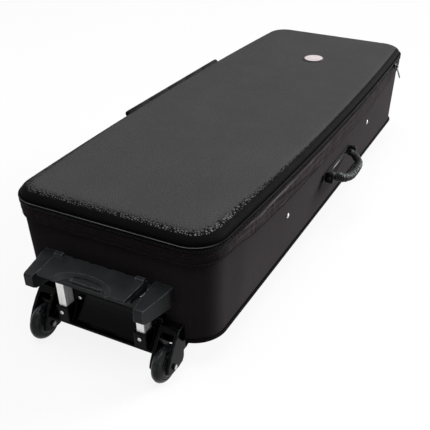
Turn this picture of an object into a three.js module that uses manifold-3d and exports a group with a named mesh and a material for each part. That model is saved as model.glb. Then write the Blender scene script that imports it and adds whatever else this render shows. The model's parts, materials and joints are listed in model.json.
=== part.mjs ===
// A wheeled trolley case for drum hardware: zipped tray and lid, pull-up handle, wheels and feet.
// Millimetres, +Z up. The origin is the middle of the tray's underside, +X is the carry handle side
// and -Y is the end with the wheels and the pull-up handle.
import * as THREE from 'three';
import { mergeVertices } from 'three/addons/utils/BufferGeometryUtils.js';
import { RoundedBoxGeometry } from 'three/addons/geometries/RoundedBoxGeometry.js';
import Module from 'manifold-3d';

const wasm = await Module();
wasm.setup();

// Sizes of the case
const caseLength = 1060;
const caseWidth = 359;
const trayBow = 14;
const trayHeight = 181;
const trayTaper = 4;
const trayWall = 6;
const trayFillet = 14;
const cornerRadius = 47;
const footCornerRadius = 51;
const lidBand = 9;
const lidEdgeRise = 14;
const lidEdgeRun = 26;
const lidCrown = 7;
const lidWall = 4;
const groundClearance = 46;
const wallLevelShares = [0.35, 0.65];
const crownShares = [0.85, 0.55, 0.2];
const liningEdgeShare = 0.97;

// Fits
const skinGap = 0.3;
const bandGap = 0.5;
const strapSeat = 0.9;
const runningGap = 0.3;
const lidGap = 0.4;
const cutOverrun = 2;

// Soft trim round the seam
const tapeHeight = 24;
const tapeThickness = 1.6;
const tapeHemHeight = 3;
const tapeHemThickness = 2.6;
const chainHeight = 3.6;
const chainThickness = 1.5;
const beadRadius = 1.9;
const beadHeight = 7;
const bindingRadius = 2.6;
const bindingHeight = 11;

// Lid hinge on the left side
const hingeLength = 375;
const hingeMiddleY = 27;
const hingeKnuckles = 5;
const hingeBarrelRadius = 7;
const hingePinRadius = 2.6;
const hingeLeafThickness = 3;
const hingeLowerLeafHeight = 20;
const hingeAxisHeight = 7;
const hingeTrimGap = 3;

// Padding and boards
const boardThickness = 4;
const padThickness = 8;
const boardInset = 20;
const padEdge = 2;
const liningThickness = 3;
const strapWidth = 38;
const strapThickness = 1.6;

// Blank badge on the lid
const badgeX = 22;
const badgeY = 289;
const badgeHalfX = 23.5;
const badgeHalfY = 27;
const badgeThickness = 1.4;

// Wall rivets of the tie straps
const rivetNearY = -246;
const rivetFarY = 232;
const rivetHeight = 100;
const rivetShankRadius = 2;
const rivetHeadRadius = 5;
const rivetHeadHeight = 2.2;
const rivetHoleGap = 0.8;
const rivetDomeShare = 0.6;
const rivetShoulderShare = 0.8;
const rivetEdgeShare = 0.2;

// Wheels
const wheelRadius = 32;
const wheelWidth = 20;
const wheelTrack = 234;
const wheelBehind = 5;
const tyreDepth = 11;
const tyreShoulder = 8;
const hubWebThickness = 8;
const hubBossRadius = 9;
const hubRimThickness = 4;
const wheelChamfer = 1;
const axleRadius = 4;
const axleHeadRadius = 5.2;
const axleHeadHeight = 3;
const wheelSideGap = 1.3;

// Carriage between the wheels
const cheekThickness = 6;
const carriageWall = 6;
const carriageTop = 51;
const lipReach = 37;
const lipThickness = 4;
const lipHeight = -3;
const scoopStart = 11;
const flangeReach = 50;
const flangeThickness = 4.7;
const socketWall = 4.6;
const socketTop = 30;
const socketFloor = 8;
const socketEdge = 2;
const hoodDepth = 18;
const hoodTop = 43;
const hoodBottom = 27;
const hoodChamfer = 3;
const hoodDrop = 6;
const flangeInset = 1;
const cheekEdge = 1;
const cheekFoot = 5;

// Rim of a fork cheek below its hood, as shares of its reach out from the end wall
const cheekReach = 55;
const cheekShares = [
  [0.564, 0.473], [0.782, 0.182], [0.945, -0.109], [1, -0.273], [0.964, -0.364],
  [0.836, -0.455], [0.4, -0.473], [0.182, -0.418], [0.109, -0.291],
];

// Cross-head screws that hold the tube feet and the plate
const screwHeadRadius = 3.4;
const screwHeadHeight = 1.8;
const screwShankRadius = 1.5;
const screwReach = 4;
const screwDomeShare = 0.7;
const footScrewHeight = 19;
const plateScrewX = 54;
const plateScrewHeight = 39;
const plateScrewSeat = 1.1;

// Pull-up handle tubes
const tubeSpacing = 149;
const outerTubeX = 15;
const outerTubeY = 21;
const tubeWall = 1;
const tubeStandOff = 12;
const tubeStop = 102;
const stageStep = 3;
const tubeCornerRadius = 1.6;
const boltHoleRadius = 1.6;
const boltHoleHeight = 76;

// Upper bracket with its two side blocks
const dockBottom = 78;
const dockBridgeDepth = 37;
const blockFront = 69.5;
const blockTopFront = 107;
const blockTopRear = 111;
const blockBottomFront = 81;
const blockInnerFront = 91.5;
const blockInnerRear = 87;
const blockOuterFront = 107.5;
const blockOuterRear = 118.5;
const blockEdge = 2.5;
const blockChamfer = 3;
const blockNoseRise = 4;
const blockNoseRun = 6;
const blockBellyRise = 1;

// Hand grip
const gripBaseBottom = 102;
const gripParting = 112;
const gripTopFront = 118;
const gripTopRear = 122;
const gripFront = 69.5;
const gripRear = 15;
const gripHalfFront = 79;
const gripHalfRear = 83;
const gripBaseFront = 56;
const gripBaseInset = 0.6;
const scoopHalfWidth = 52;
const scoopDepth = 24.5;
const scoopDraft = 5;
const fingerGrooves = 4;
const fingerGrooveRadius = 13;
const fingerGrooveDepth = 2.6;
const fingerGrooveMargin = 4;
const gripEdge = 1.5;
const gripNoseRun = 2;
const gripTailRun = 4;
const tabHeight = 4.5;
const tabLength = 15;
const tabDepth = 12;
const tabSink = 3;
const tabTailInset = 0.6;
const tabTailRise = 2;
const tabTailRun = 2.5;
const tabNoseRun = 3;
const tabNoseDrop = 1;
const tabSide = 1;
const tabEdge = 0.8;

// Release button and lock
const buttonHalfWidth = 26;
const buttonDepth = 12;
const buttonTop = 114.6;
const buttonTravel = 2.5;
const buttonFlange = 2.4;
const buttonFlangeBack = 14;
const buttonFlangeFront = 2;
const buttonFlangeShare = 0.7;
const buttonFrontReach = 1;
const buttonBulgeShare = 0.7;
const buttonSlopeDegrees = 9;
const buttonSlopeReach = 30;
const buttonSlopeDrop = 0.2;
const pegStart = 9;
const pegEnd = 4;
const yokeWidth = 5;
const yokeThickness = 2.2;
const yokeRoof = 118;
const rodRadius = 2;
const lockPinRadius = 2.4;
const lockPinLength = 6;
const lockPinHeight = 24;
const lockPinTravel = 2;
const springRadius = 2.6;
const springWire = 0.35;
const springTurns = 3;
const springHole = 3.6;
const springFloor = 1.2;
const springBehind = 6;
const pinTipGap = 0.1;

// Carry handle on the right side
const handleMiddleY = 18;
const handleSpan = 133;
const handleHeight = 91;
const handleReach = 32;
const handleDroop = 18;
const handleTubeRadius = 7;
const handleRibs = 17;
const handleRibDepth = 0.9;
const handleEyeWidth = 8;
const handleEyeRadius = 7.5;
const handleWaistShare = 0.86;
const handleGripStartShare = 0.14;
const handleHeadShare = 0.8;
const handleRouteShares = [
  [0, -1], [0.33, -0.99], [0.75, -0.86], [0.94, -0.6], [1, 0],
  [0.94, 0.6], [0.75, 0.86], [0.33, 0.99], [0, 1],
];
const handlePinRadius = 2.5;
const handlePinHeadRadius = 4.2;
const bracketWidth = 10;
const bracketHeight = 22;
const bracketDepth = 17;
const bracketEdge = 2.5;
const plateHeight = 17;
const plateThickness = 2.5;
const plateEdgeShare = 0.48;

// Zip slider and its puller
const sliderY = 415;
const sliderLength = 14;
const sliderHeight = 11;
const sliderThickness = 4;
const sliderGap = 0.6;
const sliderEdge = 1.4;
const sliderEarHalf = 2.6;
const sliderEarReach = 4.4;
const sliderEarEdge = 1;
const sliderBore = 1.3;
const pullerPivotReach = 1.9;
const pullerLength = 30;
const pullerWidth = 8;
const pullerThickness = 2;
const pullerNeck = 4;
const pullerArm = 1.1;
const pullerArmEnd = 6;
const pullerWire = 0.9;
const pullerLean = 22;

// Rear feet
const footSideInset = 62.5;
const footEndInset = 90;
const footTopRadius = 30;
const footBottomRadius = 21;
const footEdge = 4;

// Fine steps of the round forms
const cornerSteps = 6;
const sideSteps = 6;
const filletSteps = 3;
const roundSides = 24;
const smallSides = 12;
const ringSides = 6;
const tyreSteps = 6;
const scoopSteps = 8;
const buttonSteps = 10;
const springStepsPerTurn = 10;
const springWireSides = 5;
const handleSides = 10;

// Sizes worked out from the ones above
const halfLength = caseLength / 2;
const halfWidth = caseWidth / 2;
const seam = trayHeight;
const lidBase = seam + lidGap;
const lidBandTop = lidBase + lidBand;
const lidTop = lidBandTop + lidEdgeRise;
const endWall = -halfLength;
const wheelY = endWall - wheelBehind - wheelRadius + 2 * runningGap;
const wheelZ = wheelRadius - groundClearance;
const wheelX = wheelTrack / 2;
const cheekInner = wheelWidth / 2 + wheelSideGap;
const cheekOuter = cheekInner + cheekThickness;
const carriageHalf = wheelX + cheekOuter;
const tubeX = tubeSpacing / 2;
const tubeY = endWall - tubeStandOff - outerTubeY / 2;
const seamHalfWidth = halfWidth + trayBow;
const wallLevels = [...wallLevelShares.map((share) => share * seam), seam - tapeHeight, seam];
const springY = endWall - gripBaseFront + springBehind;

// Colours and finishes
const finish = (color, roughness, metalness = 0) =>
  new THREE.MeshStandardMaterial({ color, roughness, metalness });
const fabric = finish(0x3d3839, 0.92);
const lidSkin = finish(0x4c4c4d, 0.62);
const beadRubber = finish(0x2b2b2d, 0.35);
const zipCloth = finish(0x332b2c, 0.9);
const zipTeeth = finish(0x1b1b1c, 0.45);
const plastic = finish(0x2b2d2e, 0.42);
const glossPlastic = finish(0x111213, 0.18);
const aluminium = finish(0xc5c5c4, 0.32, 0.9);
const steel = finish(0xb9b9b8, 0.3, 0.95);
const darkSteel = finish(0x262628, 0.38, 0.8);
const rubber = finish(0x141414, 0.7);
const hubPlastic = finish(0x1c1d1e, 0.45);
const foam = finish(0x242426, 0.95);
const board = finish(0x4a4038, 0.85);
const badgePaint = finish(0xcfc4c2, 0.4);

const group = new THREE.Group();

// Adds one named mesh to the case
function add(name, geometry, material) {
  const mesh = new THREE.Mesh(geometry, material);
  mesh.name = name;
  group.add(mesh);
  return mesh;
}

// Turns a closed geometry into a solid for cutting and joining
function toSolid(geometry) {
  const bare = new THREE.BufferGeometry();
  const source = geometry.index ? geometry : mergeVertices(geometry);
  bare.setAttribute('position', source.getAttribute('position').clone());
  bare.setIndex(source.index.clone());
  const merged = mergeVertices(bare, 1e-4);
  return new wasm.Manifold(new wasm.Mesh({
    numProp: 3,
    vertProperties: Float32Array.from(merged.getAttribute('position').array),
    triVerts: Uint32Array.from(merged.index.array),
  }));
}

// Turns a solid back into a geometry
function toGeometry(solid) {
  const mesh = solid.getMesh();
  const geometry = new THREE.BufferGeometry();
  geometry.setAttribute('position', new THREE.BufferAttribute(mesh.vertProperties, 3));
  geometry.setIndex(new THREE.BufferAttribute(mesh.triVerts, 1));
  geometry.computeVertexNormals();
  return geometry;
}

// Joins the first geometry with the rest
function join(first, ...rest) {
  return toGeometry(rest.reduce((solid, piece) => solid.add(toSolid(piece)), toSolid(first)));
}

// Cuts the rest out of the first geometry
function cut(first, ...rest) {
  return toGeometry(rest.reduce((solid, piece) => solid.subtract(toSolid(piece)), toSolid(first)));
}

// Keeps what two geometries share
function common(first, second) {
  return toGeometry(toSolid(first).intersect(toSolid(second)));
}

// A box given by its low and high corner
function boxBetween(low, high) {
  const size = high.map((value, axis) => value - low[axis]);
  const box = new THREE.BoxGeometry(...size);
  return box.translate(...high.map((value, axis) => (value + low[axis]) / 2));
}

// A box with rounded edges given by its low and high corner
function softBoxBetween(low, high, radius) {
  const size = high.map((value, axis) => value - low[axis]);
  const box = new RoundedBoxGeometry(...size, 1, radius);
  return box.translate(...high.map((value, axis) => (value + low[axis]) / 2));
}

// A flat shape from points, pushed out along Z between two heights
function slab(points, low, high, edge = 0) {
  const shape = new THREE.Shape(points.map(([x, y]) => new THREE.Vector2(x, y)));
  const options = { depth: high - low - 2 * edge, bevelEnabled: edge > 0, bevelSize: edge };
  Object.assign(options, { bevelThickness: edge, bevelOffset: -edge, bevelSegments: 2 });
  return new THREE.ExtrudeGeometry(shape, options).translate(0, 0, low + edge);
}

// A side view drawn in Y and Z, pushed out along X between two places
function sideSlab(points, low, high, edge = 0) {
  const geometry = slab(points, low, high, edge);
  const turn = new THREE.Matrix4().makeBasis(
    new THREE.Vector3(0, 1, 0), new THREE.Vector3(0, 0, 1), new THREE.Vector3(1, 0, 0));
  return geometry.applyMatrix4(turn);
}

// An end view drawn in X and Z, pushed out along Y between two places
function endSlab(points, low, high) {
  const geometry = slab(points.map(([x, z]) => [x, z]), -high, -low);
  return geometry.rotateX(Math.PI / 2);
}

// A round bar along Y between two places
function barAlongY(radius, low, high, x, z, sides = smallSides) {
  const bar = new THREE.CylinderGeometry(radius, radius, high - low, sides);
  return bar.translate(x, (low + high) / 2, z);
}

// A round bar along Z between two heights
function barAlongZ(radius, low, high, x, y, sides = smallSides) {
  const bar = new THREE.CylinderGeometry(radius, radius, high - low, sides).rotateX(Math.PI / 2);
  return bar.translate(x, y, (low + high) / 2);
}

// A round bar along X between two places
function barAlongX(radius, low, high, y, z, sides = smallSides) {
  const bar = new THREE.CylinderGeometry(radius, radius, high - low, sides).rotateZ(Math.PI / 2);
  return bar.translate((low + high) / 2, y, z);
}

// A turned piece with its axis along X, from points of radius and place along the axis
function turnedAlongX(profile, sides = roundSides) {
  const points = profile.map(([radius, place]) => new THREE.Vector2(radius, place));
  return new THREE.LatheGeometry(points, sides).rotateZ(-Math.PI / 2);
}

// One level outline of the case: rounded corners, and long sides that swell by the bow
function outline(halfX, halfY, radius, bow) {
  const points = [];
  const corners = [[1, -1, -90], [1, 1, 0], [-1, 1, 90], [-1, -1, 180]];
  for (const [signX, signY, startDegrees] of corners) {
    for (let step = 0; step <= cornerSteps; step += 1) {
      const angle = THREE.MathUtils.degToRad(startDegrees + 90 * step / cornerSteps);
      const x = signX * (halfX - radius) + radius * Math.cos(angle);
      const y = signY * (halfY - radius) + radius * Math.sin(angle);
      points.push([x, y]);
    }
    if (signX === signY) {
      continue;
    }
    for (let step = 1; step < sideSteps; step += 1) {
      const share = 2 * step / sideSteps - 1;
      points.push([signX * halfX, -signY * share * (halfY - radius)]);
    }
  }
  return points.map(([x, y]) => [x * (1 + bow / halfX * (1 - (y / halfY) ** 2)), y]);
}

// The outer face of the tray wall at a height, moved inward by an inset
function wallOutline(height, inset) {
  const share = Math.min(height / seam, 1);
  const halfX = halfWidth - trayTaper * (1 - share) - inset;
  const radius = footCornerRadius + (cornerRadius - footCornerRadius) * share - inset;
  return outline(halfX, halfLength - inset, radius, trayBow * share);
}

// How far the tray wall stands from the middle on the right side
function wallX(height, y) {
  const share = Math.min(height / seam, 1);
  const halfX = halfWidth - trayTaper * (1 - share);
  return halfX + trayBow * share * (1 - (y / halfLength) ** 2);
}

// A skin through level rings, closed by a fan at each end or on to its first ring
function skin(rings, isLoop = false) {
  const count = rings[0].points.length;
  const positions = [];
  const index = [];
  for (const ring of rings) {
    for (const [x, y] of ring.points) {
      positions.push(x, y, ring.z);
    }
  }
  const last = isLoop ? rings.length : rings.length - 1;
  for (let level = 0; level < last; level += 1) {
    const low = level * count;
    const high = ((level + 1) % rings.length) * count;
    for (let side = 0; side < count; side += 1) {
      const next = (side + 1) % count;
      index.push(low + side, low + next, high + next);
      index.push(low + side, high + next, high + side);
    }
  }
  if (!isLoop) {
    const first = positions.length / 3;
    positions.push(0, 0, rings[0].z);
    positions.push(0, 0, rings[rings.length - 1].z);
    const top = (rings.length - 1) * count;
    for (let side = 0; side < count; side += 1) {
      const next = (side + 1) % count;
      index.push(first, next, side);
      index.push(first + 1, top + side, top + next);
    }
  }
  const geometry = new THREE.BufferGeometry();
  geometry.setAttribute('position', new THREE.Float32BufferAttribute(positions, 3));
  geometry.setIndex(index);
  geometry.computeVertexNormals();
  return geometry;
}

// The block that takes the seam trim away behind the hinge
function hingeTrimCutter() {
  const near = hingeMiddleY - hingeLength / 2 - hingeTrimGap;
  const far = hingeMiddleY + hingeLength / 2 + hingeTrimGap;
  return boxBetween([-caseWidth, near, 0], [0, far, 2 * seam]);
}

// Tray of the case, a tub with rounded corners
function trayShell() {
  const rings = [];
  for (let step = 0; step <= filletSteps; step += 1) {
    const angle = THREE.MathUtils.degToRad(90 * step / filletSteps);
    const rise = trayFillet * (1 - Math.cos(angle));
    rings.push({ points: wallOutline(rise, trayFillet * (1 - Math.sin(angle))), z: rise });
  }
  for (const height of wallLevels) {
    rings.push({ points: wallOutline(height, 0), z: height });
  }
  for (const height of [...wallLevels].reverse()) {
    rings.push({ points: wallOutline(height, trayWall), z: height });
  }
  for (let step = filletSteps; step >= 0; step -= 1) {
    const angle = THREE.MathUtils.degToRad(90 * step / filletSteps);
    const rise = trayWall + (trayFillet - trayWall) * (1 - Math.cos(angle));
    const inset = trayWall + (trayFillet - trayWall) * (1 - Math.sin(angle));
    rings.push({ points: wallOutline(rise, inset), z: rise });
  }
  const holes = [];
  for (const y of [rivetNearY, rivetFarY]) {
    holes.push(barAlongX(rivetShankRadius + rivetHoleGap, -caseWidth, caseWidth, y, rivetHeight));
  }
  return cut(skin(rings), ...holes);
}

// Level rings of the lid from its rim to its middle, moved in and down by an inset
function lidRings(inset) {
  const rings = [{ points: wallOutline(seam, inset), z: lidBase }];
  const edgeRun = lidEdgeRun - inset;
  for (let step = 0; step <= filletSteps + 1; step += 1) {
    const angle = THREE.MathUtils.degToRad(90 * step / (filletSteps + 1));
    const points = wallOutline(seam, inset + edgeRun * (1 - Math.cos(angle)));
    rings.push({ points, z: lidBandTop - inset + lidEdgeRise * Math.sin(angle) });
  }
  const crownEdge = wallOutline(seam, lidEdgeRun);
  for (const share of crownShares) {
    const points = crownEdge.map(([x, y]) => [x * share, y * share]);
    rings.push({ points, z: lidTop - inset + lidCrown * (1 - share ** 2) });
  }
  return rings;
}

// Height of the crowned lid top over a point
function crownHeight(x, y) {
  const edgeX = halfWidth - lidEdgeRun + trayBow * (1 - (y / halfLength) ** 2);
  const share = Math.max(Math.abs(x) / edgeX, Math.abs(y) / (halfLength - lidEdgeRun));
  return lidTop + lidCrown * (1 - share ** 2);
}

// Lid of the case, a shallow moulded shell with a crowned top
function lidShell() {
  const inner = lidRings(lidWall).reverse();
  return skin([...inner, ...lidRings(0)]);
}

// Lining inside the lid's crown
function lidLining() {
  const inset = lidWall + skinGap;
  const low = inset + liningThickness;
  const edge = wallOutline(seam, lidEdgeRun + lidWall);
  const flat = (depth) => [liningEdgeShare, ...crownShares].map((share) => ({
    points: edge.map(([x, y]) => [x * share, y * share]),
    z: lidTop - depth + lidCrown * (1 - share ** 2),
  }));
  return skin([...flat(low).reverse(), ...flat(inset)]);
}

// A cord ring round the wall
function ringAt(height, radius, offset) {
  const rings = [];
  for (let side = 0; side < ringSides; side += 1) {
    const angle = -2 * Math.PI * side / ringSides;
    const inset = -offset - radius - radius * Math.cos(angle);
    rings.push({ points: wallOutline(Math.min(height, seam), inset), z: height + radius * Math.sin(angle) });
  }
  return skin(rings.reverse(), true);
}

// A flat band round the wall between two heights
function bandBetween(low, high, offset, thickness) {
  const lowWall = Math.min(low, seam);
  const highWall = Math.min(high, seam);
  return skin([
    { points: wallOutline(lowWall, -offset), z: low },
    { points: wallOutline(lowWall, -offset - thickness), z: low },
    { points: wallOutline(highWall, -offset - thickness), z: high },
    { points: wallOutline(highWall, -offset), z: high },
  ], true);
}

// Zip tape of the tray, with a thicker hem at its lower edge
function zipTape() {
  const hemTop = seam - tapeHeight + tapeHemHeight;
  const low = seam - tapeHeight;
  const tape = skin([
    { points: wallOutline(low, -bandGap), z: low },
    { points: wallOutline(low, -bandGap - tapeHemThickness), z: low },
    { points: wallOutline(hemTop, -bandGap - tapeHemThickness), z: hemTop },
    { points: wallOutline(hemTop, -bandGap - tapeThickness), z: hemTop + tapeHemThickness - tapeThickness },
    { points: wallOutline(seam, -bandGap - tapeThickness), z: seam },
    { points: wallOutline(seam, -bandGap), z: seam },
  ], true);
  return cut(tape, hingeTrimCutter());
}

// The soft and hard layers of the case
add('tray_shell', trayShell(), fabric);
add('zip_tape_lower', zipTape(), zipCloth);
const chainOffset = bandGap + tapeThickness + skinGap;
const lowerChain = bandBetween(seam - chainHeight, seam, chainOffset, chainThickness);
add('zip_chain_lower', cut(lowerChain, hingeTrimCutter()), zipTeeth);
const bindingCut = boxBetween([-carriageHalf - hingeTrimGap, 2 * endWall, 0],
  [carriageHalf + hingeTrimGap, endWall + cornerRadius / 2, 2 * bindingHeight]);
add('bottom_binding', cut(ringAt(bindingHeight, bindingRadius, skinGap), bindingCut), beadRubber);
add('lid_shell', lidShell(), lidSkin);
const upperTape = bandBetween(lidBase, lidBase + chainHeight + skinGap, bandGap, tapeThickness);
add('zip_tape_upper', cut(upperTape, hingeTrimCutter()), zipCloth);
const upperChain = bandBetween(lidBase, lidBase + chainHeight, chainOffset, chainThickness);
add('zip_chain_upper', cut(upperChain, hingeTrimCutter()), zipTeeth);
add('lid_bead', cut(ringAt(seam + beadHeight, beadRadius, skinGap), hingeTrimCutter()), beadRubber);
add('lid_lining', lidLining(), foam);

// Floor board and pad inside the tray
const boardLow = trayWall + skinGap;
const padLow = boardLow + boardThickness + skinGap;
const floorOutline = wallOutline(trayFillet, boardInset);
add('floor_board', slab(floorOutline, boardLow, boardLow + boardThickness), board);
add('floor_pad', slab(floorOutline, padLow, padLow + padThickness, padEdge), foam);

// Tie straps that run from wall to wall over the pad, and the rivets that hold them
function tieStrap(y) {
  const wallSlope = (wallX(seam, y) - wallX(0, y)) / seam;
  const strapTop = rivetHeight + strapWidth / 2;
  const floorLevel = padLow + padThickness + skinGap;
  const wallAt = (height) => wallX(0, y) + wallSlope * height - trayWall - strapSeat;
  const points = [];
  for (const sign of [1, -1]) {
    const arm = [
      [sign * (wallAt(strapTop) - strapThickness), strapTop],
      [sign * wallAt(strapTop), strapTop],
      [sign * wallAt(floorLevel), floorLevel],
    ];
    points.push(sign > 0 ? arm : arm.reverse());
  }
  const inner = [
    [-wallAt(floorLevel) + strapThickness, floorLevel + strapThickness],
    [wallAt(floorLevel) - strapThickness, floorLevel + strapThickness],
  ];
  const strap = endSlab([...points[0], ...points[1], ...inner], y - strapWidth / 2, y + strapWidth / 2);
  const hole = barAlongX(rivetShankRadius + rivetHoleGap, -caseWidth, caseWidth, y, rivetHeight);
  return cut(strap, hole);
}

// One wall rivet, with its head outside and its washer inside
function wallRivet(y, side) {
  const wall = wallX(rivetHeight, y);
  const inside = trayWall + strapSeat + strapThickness + skinGap;
  const profile = [
    [0, rivetHeadHeight + bandGap],
    [rivetHeadRadius * rivetDomeShare, rivetHeadHeight * rivetShoulderShare + bandGap],
    [rivetHeadRadius, bandGap + rivetHeadHeight * rivetEdgeShare], [rivetHeadRadius, bandGap],
    [rivetShankRadius, bandGap], [rivetShankRadius, -inside], [rivetHeadRadius, -inside],
    [rivetHeadRadius, -inside - rivetHeadHeight / 2], [0, -inside - rivetHeadHeight / 2],
  ];
  const lean = Math.atan2(wallX(seam, y) - wallX(0, y), seam);
  const rivet = turnedAlongX(profile.reverse(), smallSides).rotateY(lean);
  rivet.translate(wall, y, rivetHeight);
  return side > 0 ? rivet : rivet.rotateZ(Math.PI).translate(0, 2 * y, 0);
}

for (const [place, y] of [['near', rivetNearY], ['far', rivetFarY]]) {
  add(`tie_strap_${place}`, tieStrap(y), foam);
  add(`strap_rivet_right_${place}`, wallRivet(y, 1), steel);
  add(`strap_rivet_left_${place}`, wallRivet(y, -1), steel);
}

// Blank badge on the lid
function badge() {
  const shape = new THREE.Shape().absellipse(0, 0, badgeHalfX, badgeHalfY, 0, 2 * Math.PI, false, 0);
  const disc = new THREE.ExtrudeGeometry(shape, {
    depth: badgeThickness / 2, curveSegments: roundSides / 2, bevelThickness: badgeThickness / 4,
    bevelSize: badgeThickness / 2, bevelSegments: 2, bevelOffset: -badgeThickness / 2,
  });
  return disc.translate(0, 0, badgeThickness / 4 + skinGap);
}
const badgeMesh = add('lid_badge', badge(), badgePaint);
const badgeFall = crownHeight(badgeX, badgeY - badgeHalfY) - crownHeight(badgeX, badgeY + badgeHalfY);
badgeMesh.position.set(badgeX, badgeY, crownHeight(badgeX, badgeY));
badgeMesh.rotation.x = -Math.atan2(badgeFall, 2 * badgeHalfY);

// Hinge: three knuckles on the tray leaf, two on the lid leaf and one pin
const leafFace = seamHalfWidth + skinGap;
const hingeX = -(leafFace + hingeLeafThickness + runningGap + hingeBarrelRadius);
const hingeZ = seam + hingeAxisHeight;
const hingeStart = hingeMiddleY - hingeLength / 2;
const knuckleLength = hingeLength / hingeKnuckles;

function hingeLeaf(isLid) {
  const low = isLid ? lidBase + runningGap : seam - hingeLowerLeafHeight;
  const high = isLid ? lidBandTop : seam - runningGap;
  const leaf = boxBetween(
    [-leafFace - hingeLeafThickness, hingeStart, low], [-leafFace, hingeStart + hingeLength, high]);
  const pieces = [];
  for (let count = 0; count < hingeKnuckles; count += 1) {
    if ((count % 2 === 1) !== isLid) {
      continue;
    }
    const near = hingeStart + count * knuckleLength + runningGap / 2;
    const far = near + knuckleLength - runningGap;
    pieces.push(barAlongY(hingeBarrelRadius, near, far, hingeX, hingeZ, roundSides / 2));
    const armLow = isLid ? hingeZ - hingeBarrelRadius / 3 : low;
    const armInner = isLid ? -leafFace - hingeLeafThickness / 2 : -leafFace - hingeLeafThickness - runningGap;
    const armOuter = hingeX + (isLid ? 0 : -hingeLeafThickness);
    const armHigh = isLid ? hingeZ + hingeBarrelRadius / 4 : hingeZ;
    pieces.push(boxBetween([armOuter, near, armLow], [armInner, far, armHigh]));
    if (!isLid) {
      const footLow = [armOuter, near, low];
      pieces.push(boxBetween(footLow, [-leafFace - hingeLeafThickness / 2, far, high - runningGap]));
    }
  }
  const bore = barAlongY(hingePinRadius + runningGap, hingeStart - cutOverrun,
    hingeStart + hingeLength + cutOverrun, hingeX, hingeZ);
  return cut(join(leaf, ...pieces), bore);
}
add('hinge_leaf_lower', hingeLeaf(false), plastic);
add('hinge_leaf_upper', hingeLeaf(true), plastic);
add('hinge_pin', barAlongY(hingePinRadius, hingeStart + cutOverrun,
  hingeStart + hingeLength - cutOverrun, hingeX, hingeZ), darkSteel);

// Outline points of a rounded rectangle for the tubes
function tubeOutline(sizeX, sizeY, radius) {
  const points = [];
  const corners = [[1, -1, -90], [1, 1, 0], [-1, 1, 90], [-1, -1, 180]];
  for (const [signX, signY, startDegrees] of corners) {
    for (let step = 0; step <= 2; step += 1) {
      const angle = THREE.MathUtils.degToRad(startDegrees + 45 * step);
      const x = signX * (sizeX / 2 - radius) + radius * Math.cos(angle);
      const y = signY * (sizeY / 2 - radius) + radius * Math.sin(angle);
      points.push([x, y]);
    }
  }
  return points;
}

// A hollow tube of one stage, or the solid bar that fills or clears it
function tubeBar(shrink, low, high) {
  const points = tubeOutline(outerTubeX - shrink, outerTubeY - shrink, tubeCornerRadius);
  return slab(points, low, high);
}

function tubeStage(stage, low, high, hole) {
  const shrink = stage * (2 * tubeWall + 2 * runningGap);
  const bore = tubeBar(shrink + 2 * tubeWall, low - cutOverrun, high + cutOverrun);
  const pieces = hole ? [bore, hole] : [bore];
  return cut(tubeBar(shrink, low, high), ...pieces);
}

const tubeLow = socketFloor + runningGap;
const tubeHigh = tubeStop - runningGap;
const sides = [['left', -1], ['right', 1]];
for (const [side, sign] of sides) {
  const frontHole = new THREE.CylinderGeometry(boltHoleRadius, boltHoleRadius, outerTubeY, smallSides)
    .translate(0, -outerTubeY / 2, boltHoleHeight);
  const pinHole = barAlongX(lockPinRadius + runningGap, 0, outerTubeX, 0, lockPinHeight)
    .rotateZ(sign > 0 ? 0 : Math.PI);
  const outer = add(`rail_outer_${side}`, tubeStage(0, tubeLow, tubeHigh, frontHole), aluminium);
  const middle = add(`rail_middle_${side}`,
    tubeStage(1, tubeLow + stageStep, tubeHigh), aluminium);
  const inner = add(`rail_inner_${side}`,
    tubeStage(2, tubeLow + 2 * stageStep, gripParting - runningGap, pinHole), aluminium);
  for (const mesh of [outer, middle, inner]) {
    mesh.position.set(sign * tubeX, tubeY, 0);
  }
}

// Side view of one fork cheek, as distances out from the end wall and heights
const cheekView = [
  [-carriageWall, -flangeThickness], [-carriageWall, -runningGap],
  [runningGap, -runningGap], [runningGap, hoodTop],
  [hoodDepth - hoodChamfer, hoodTop], [hoodDepth, hoodTop - hoodChamfer],
  ...cheekShares.map(([reach, height]) => [reach * cheekReach, height * cheekReach]),
  [cheekFoot, -flangeThickness],
];

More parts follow.
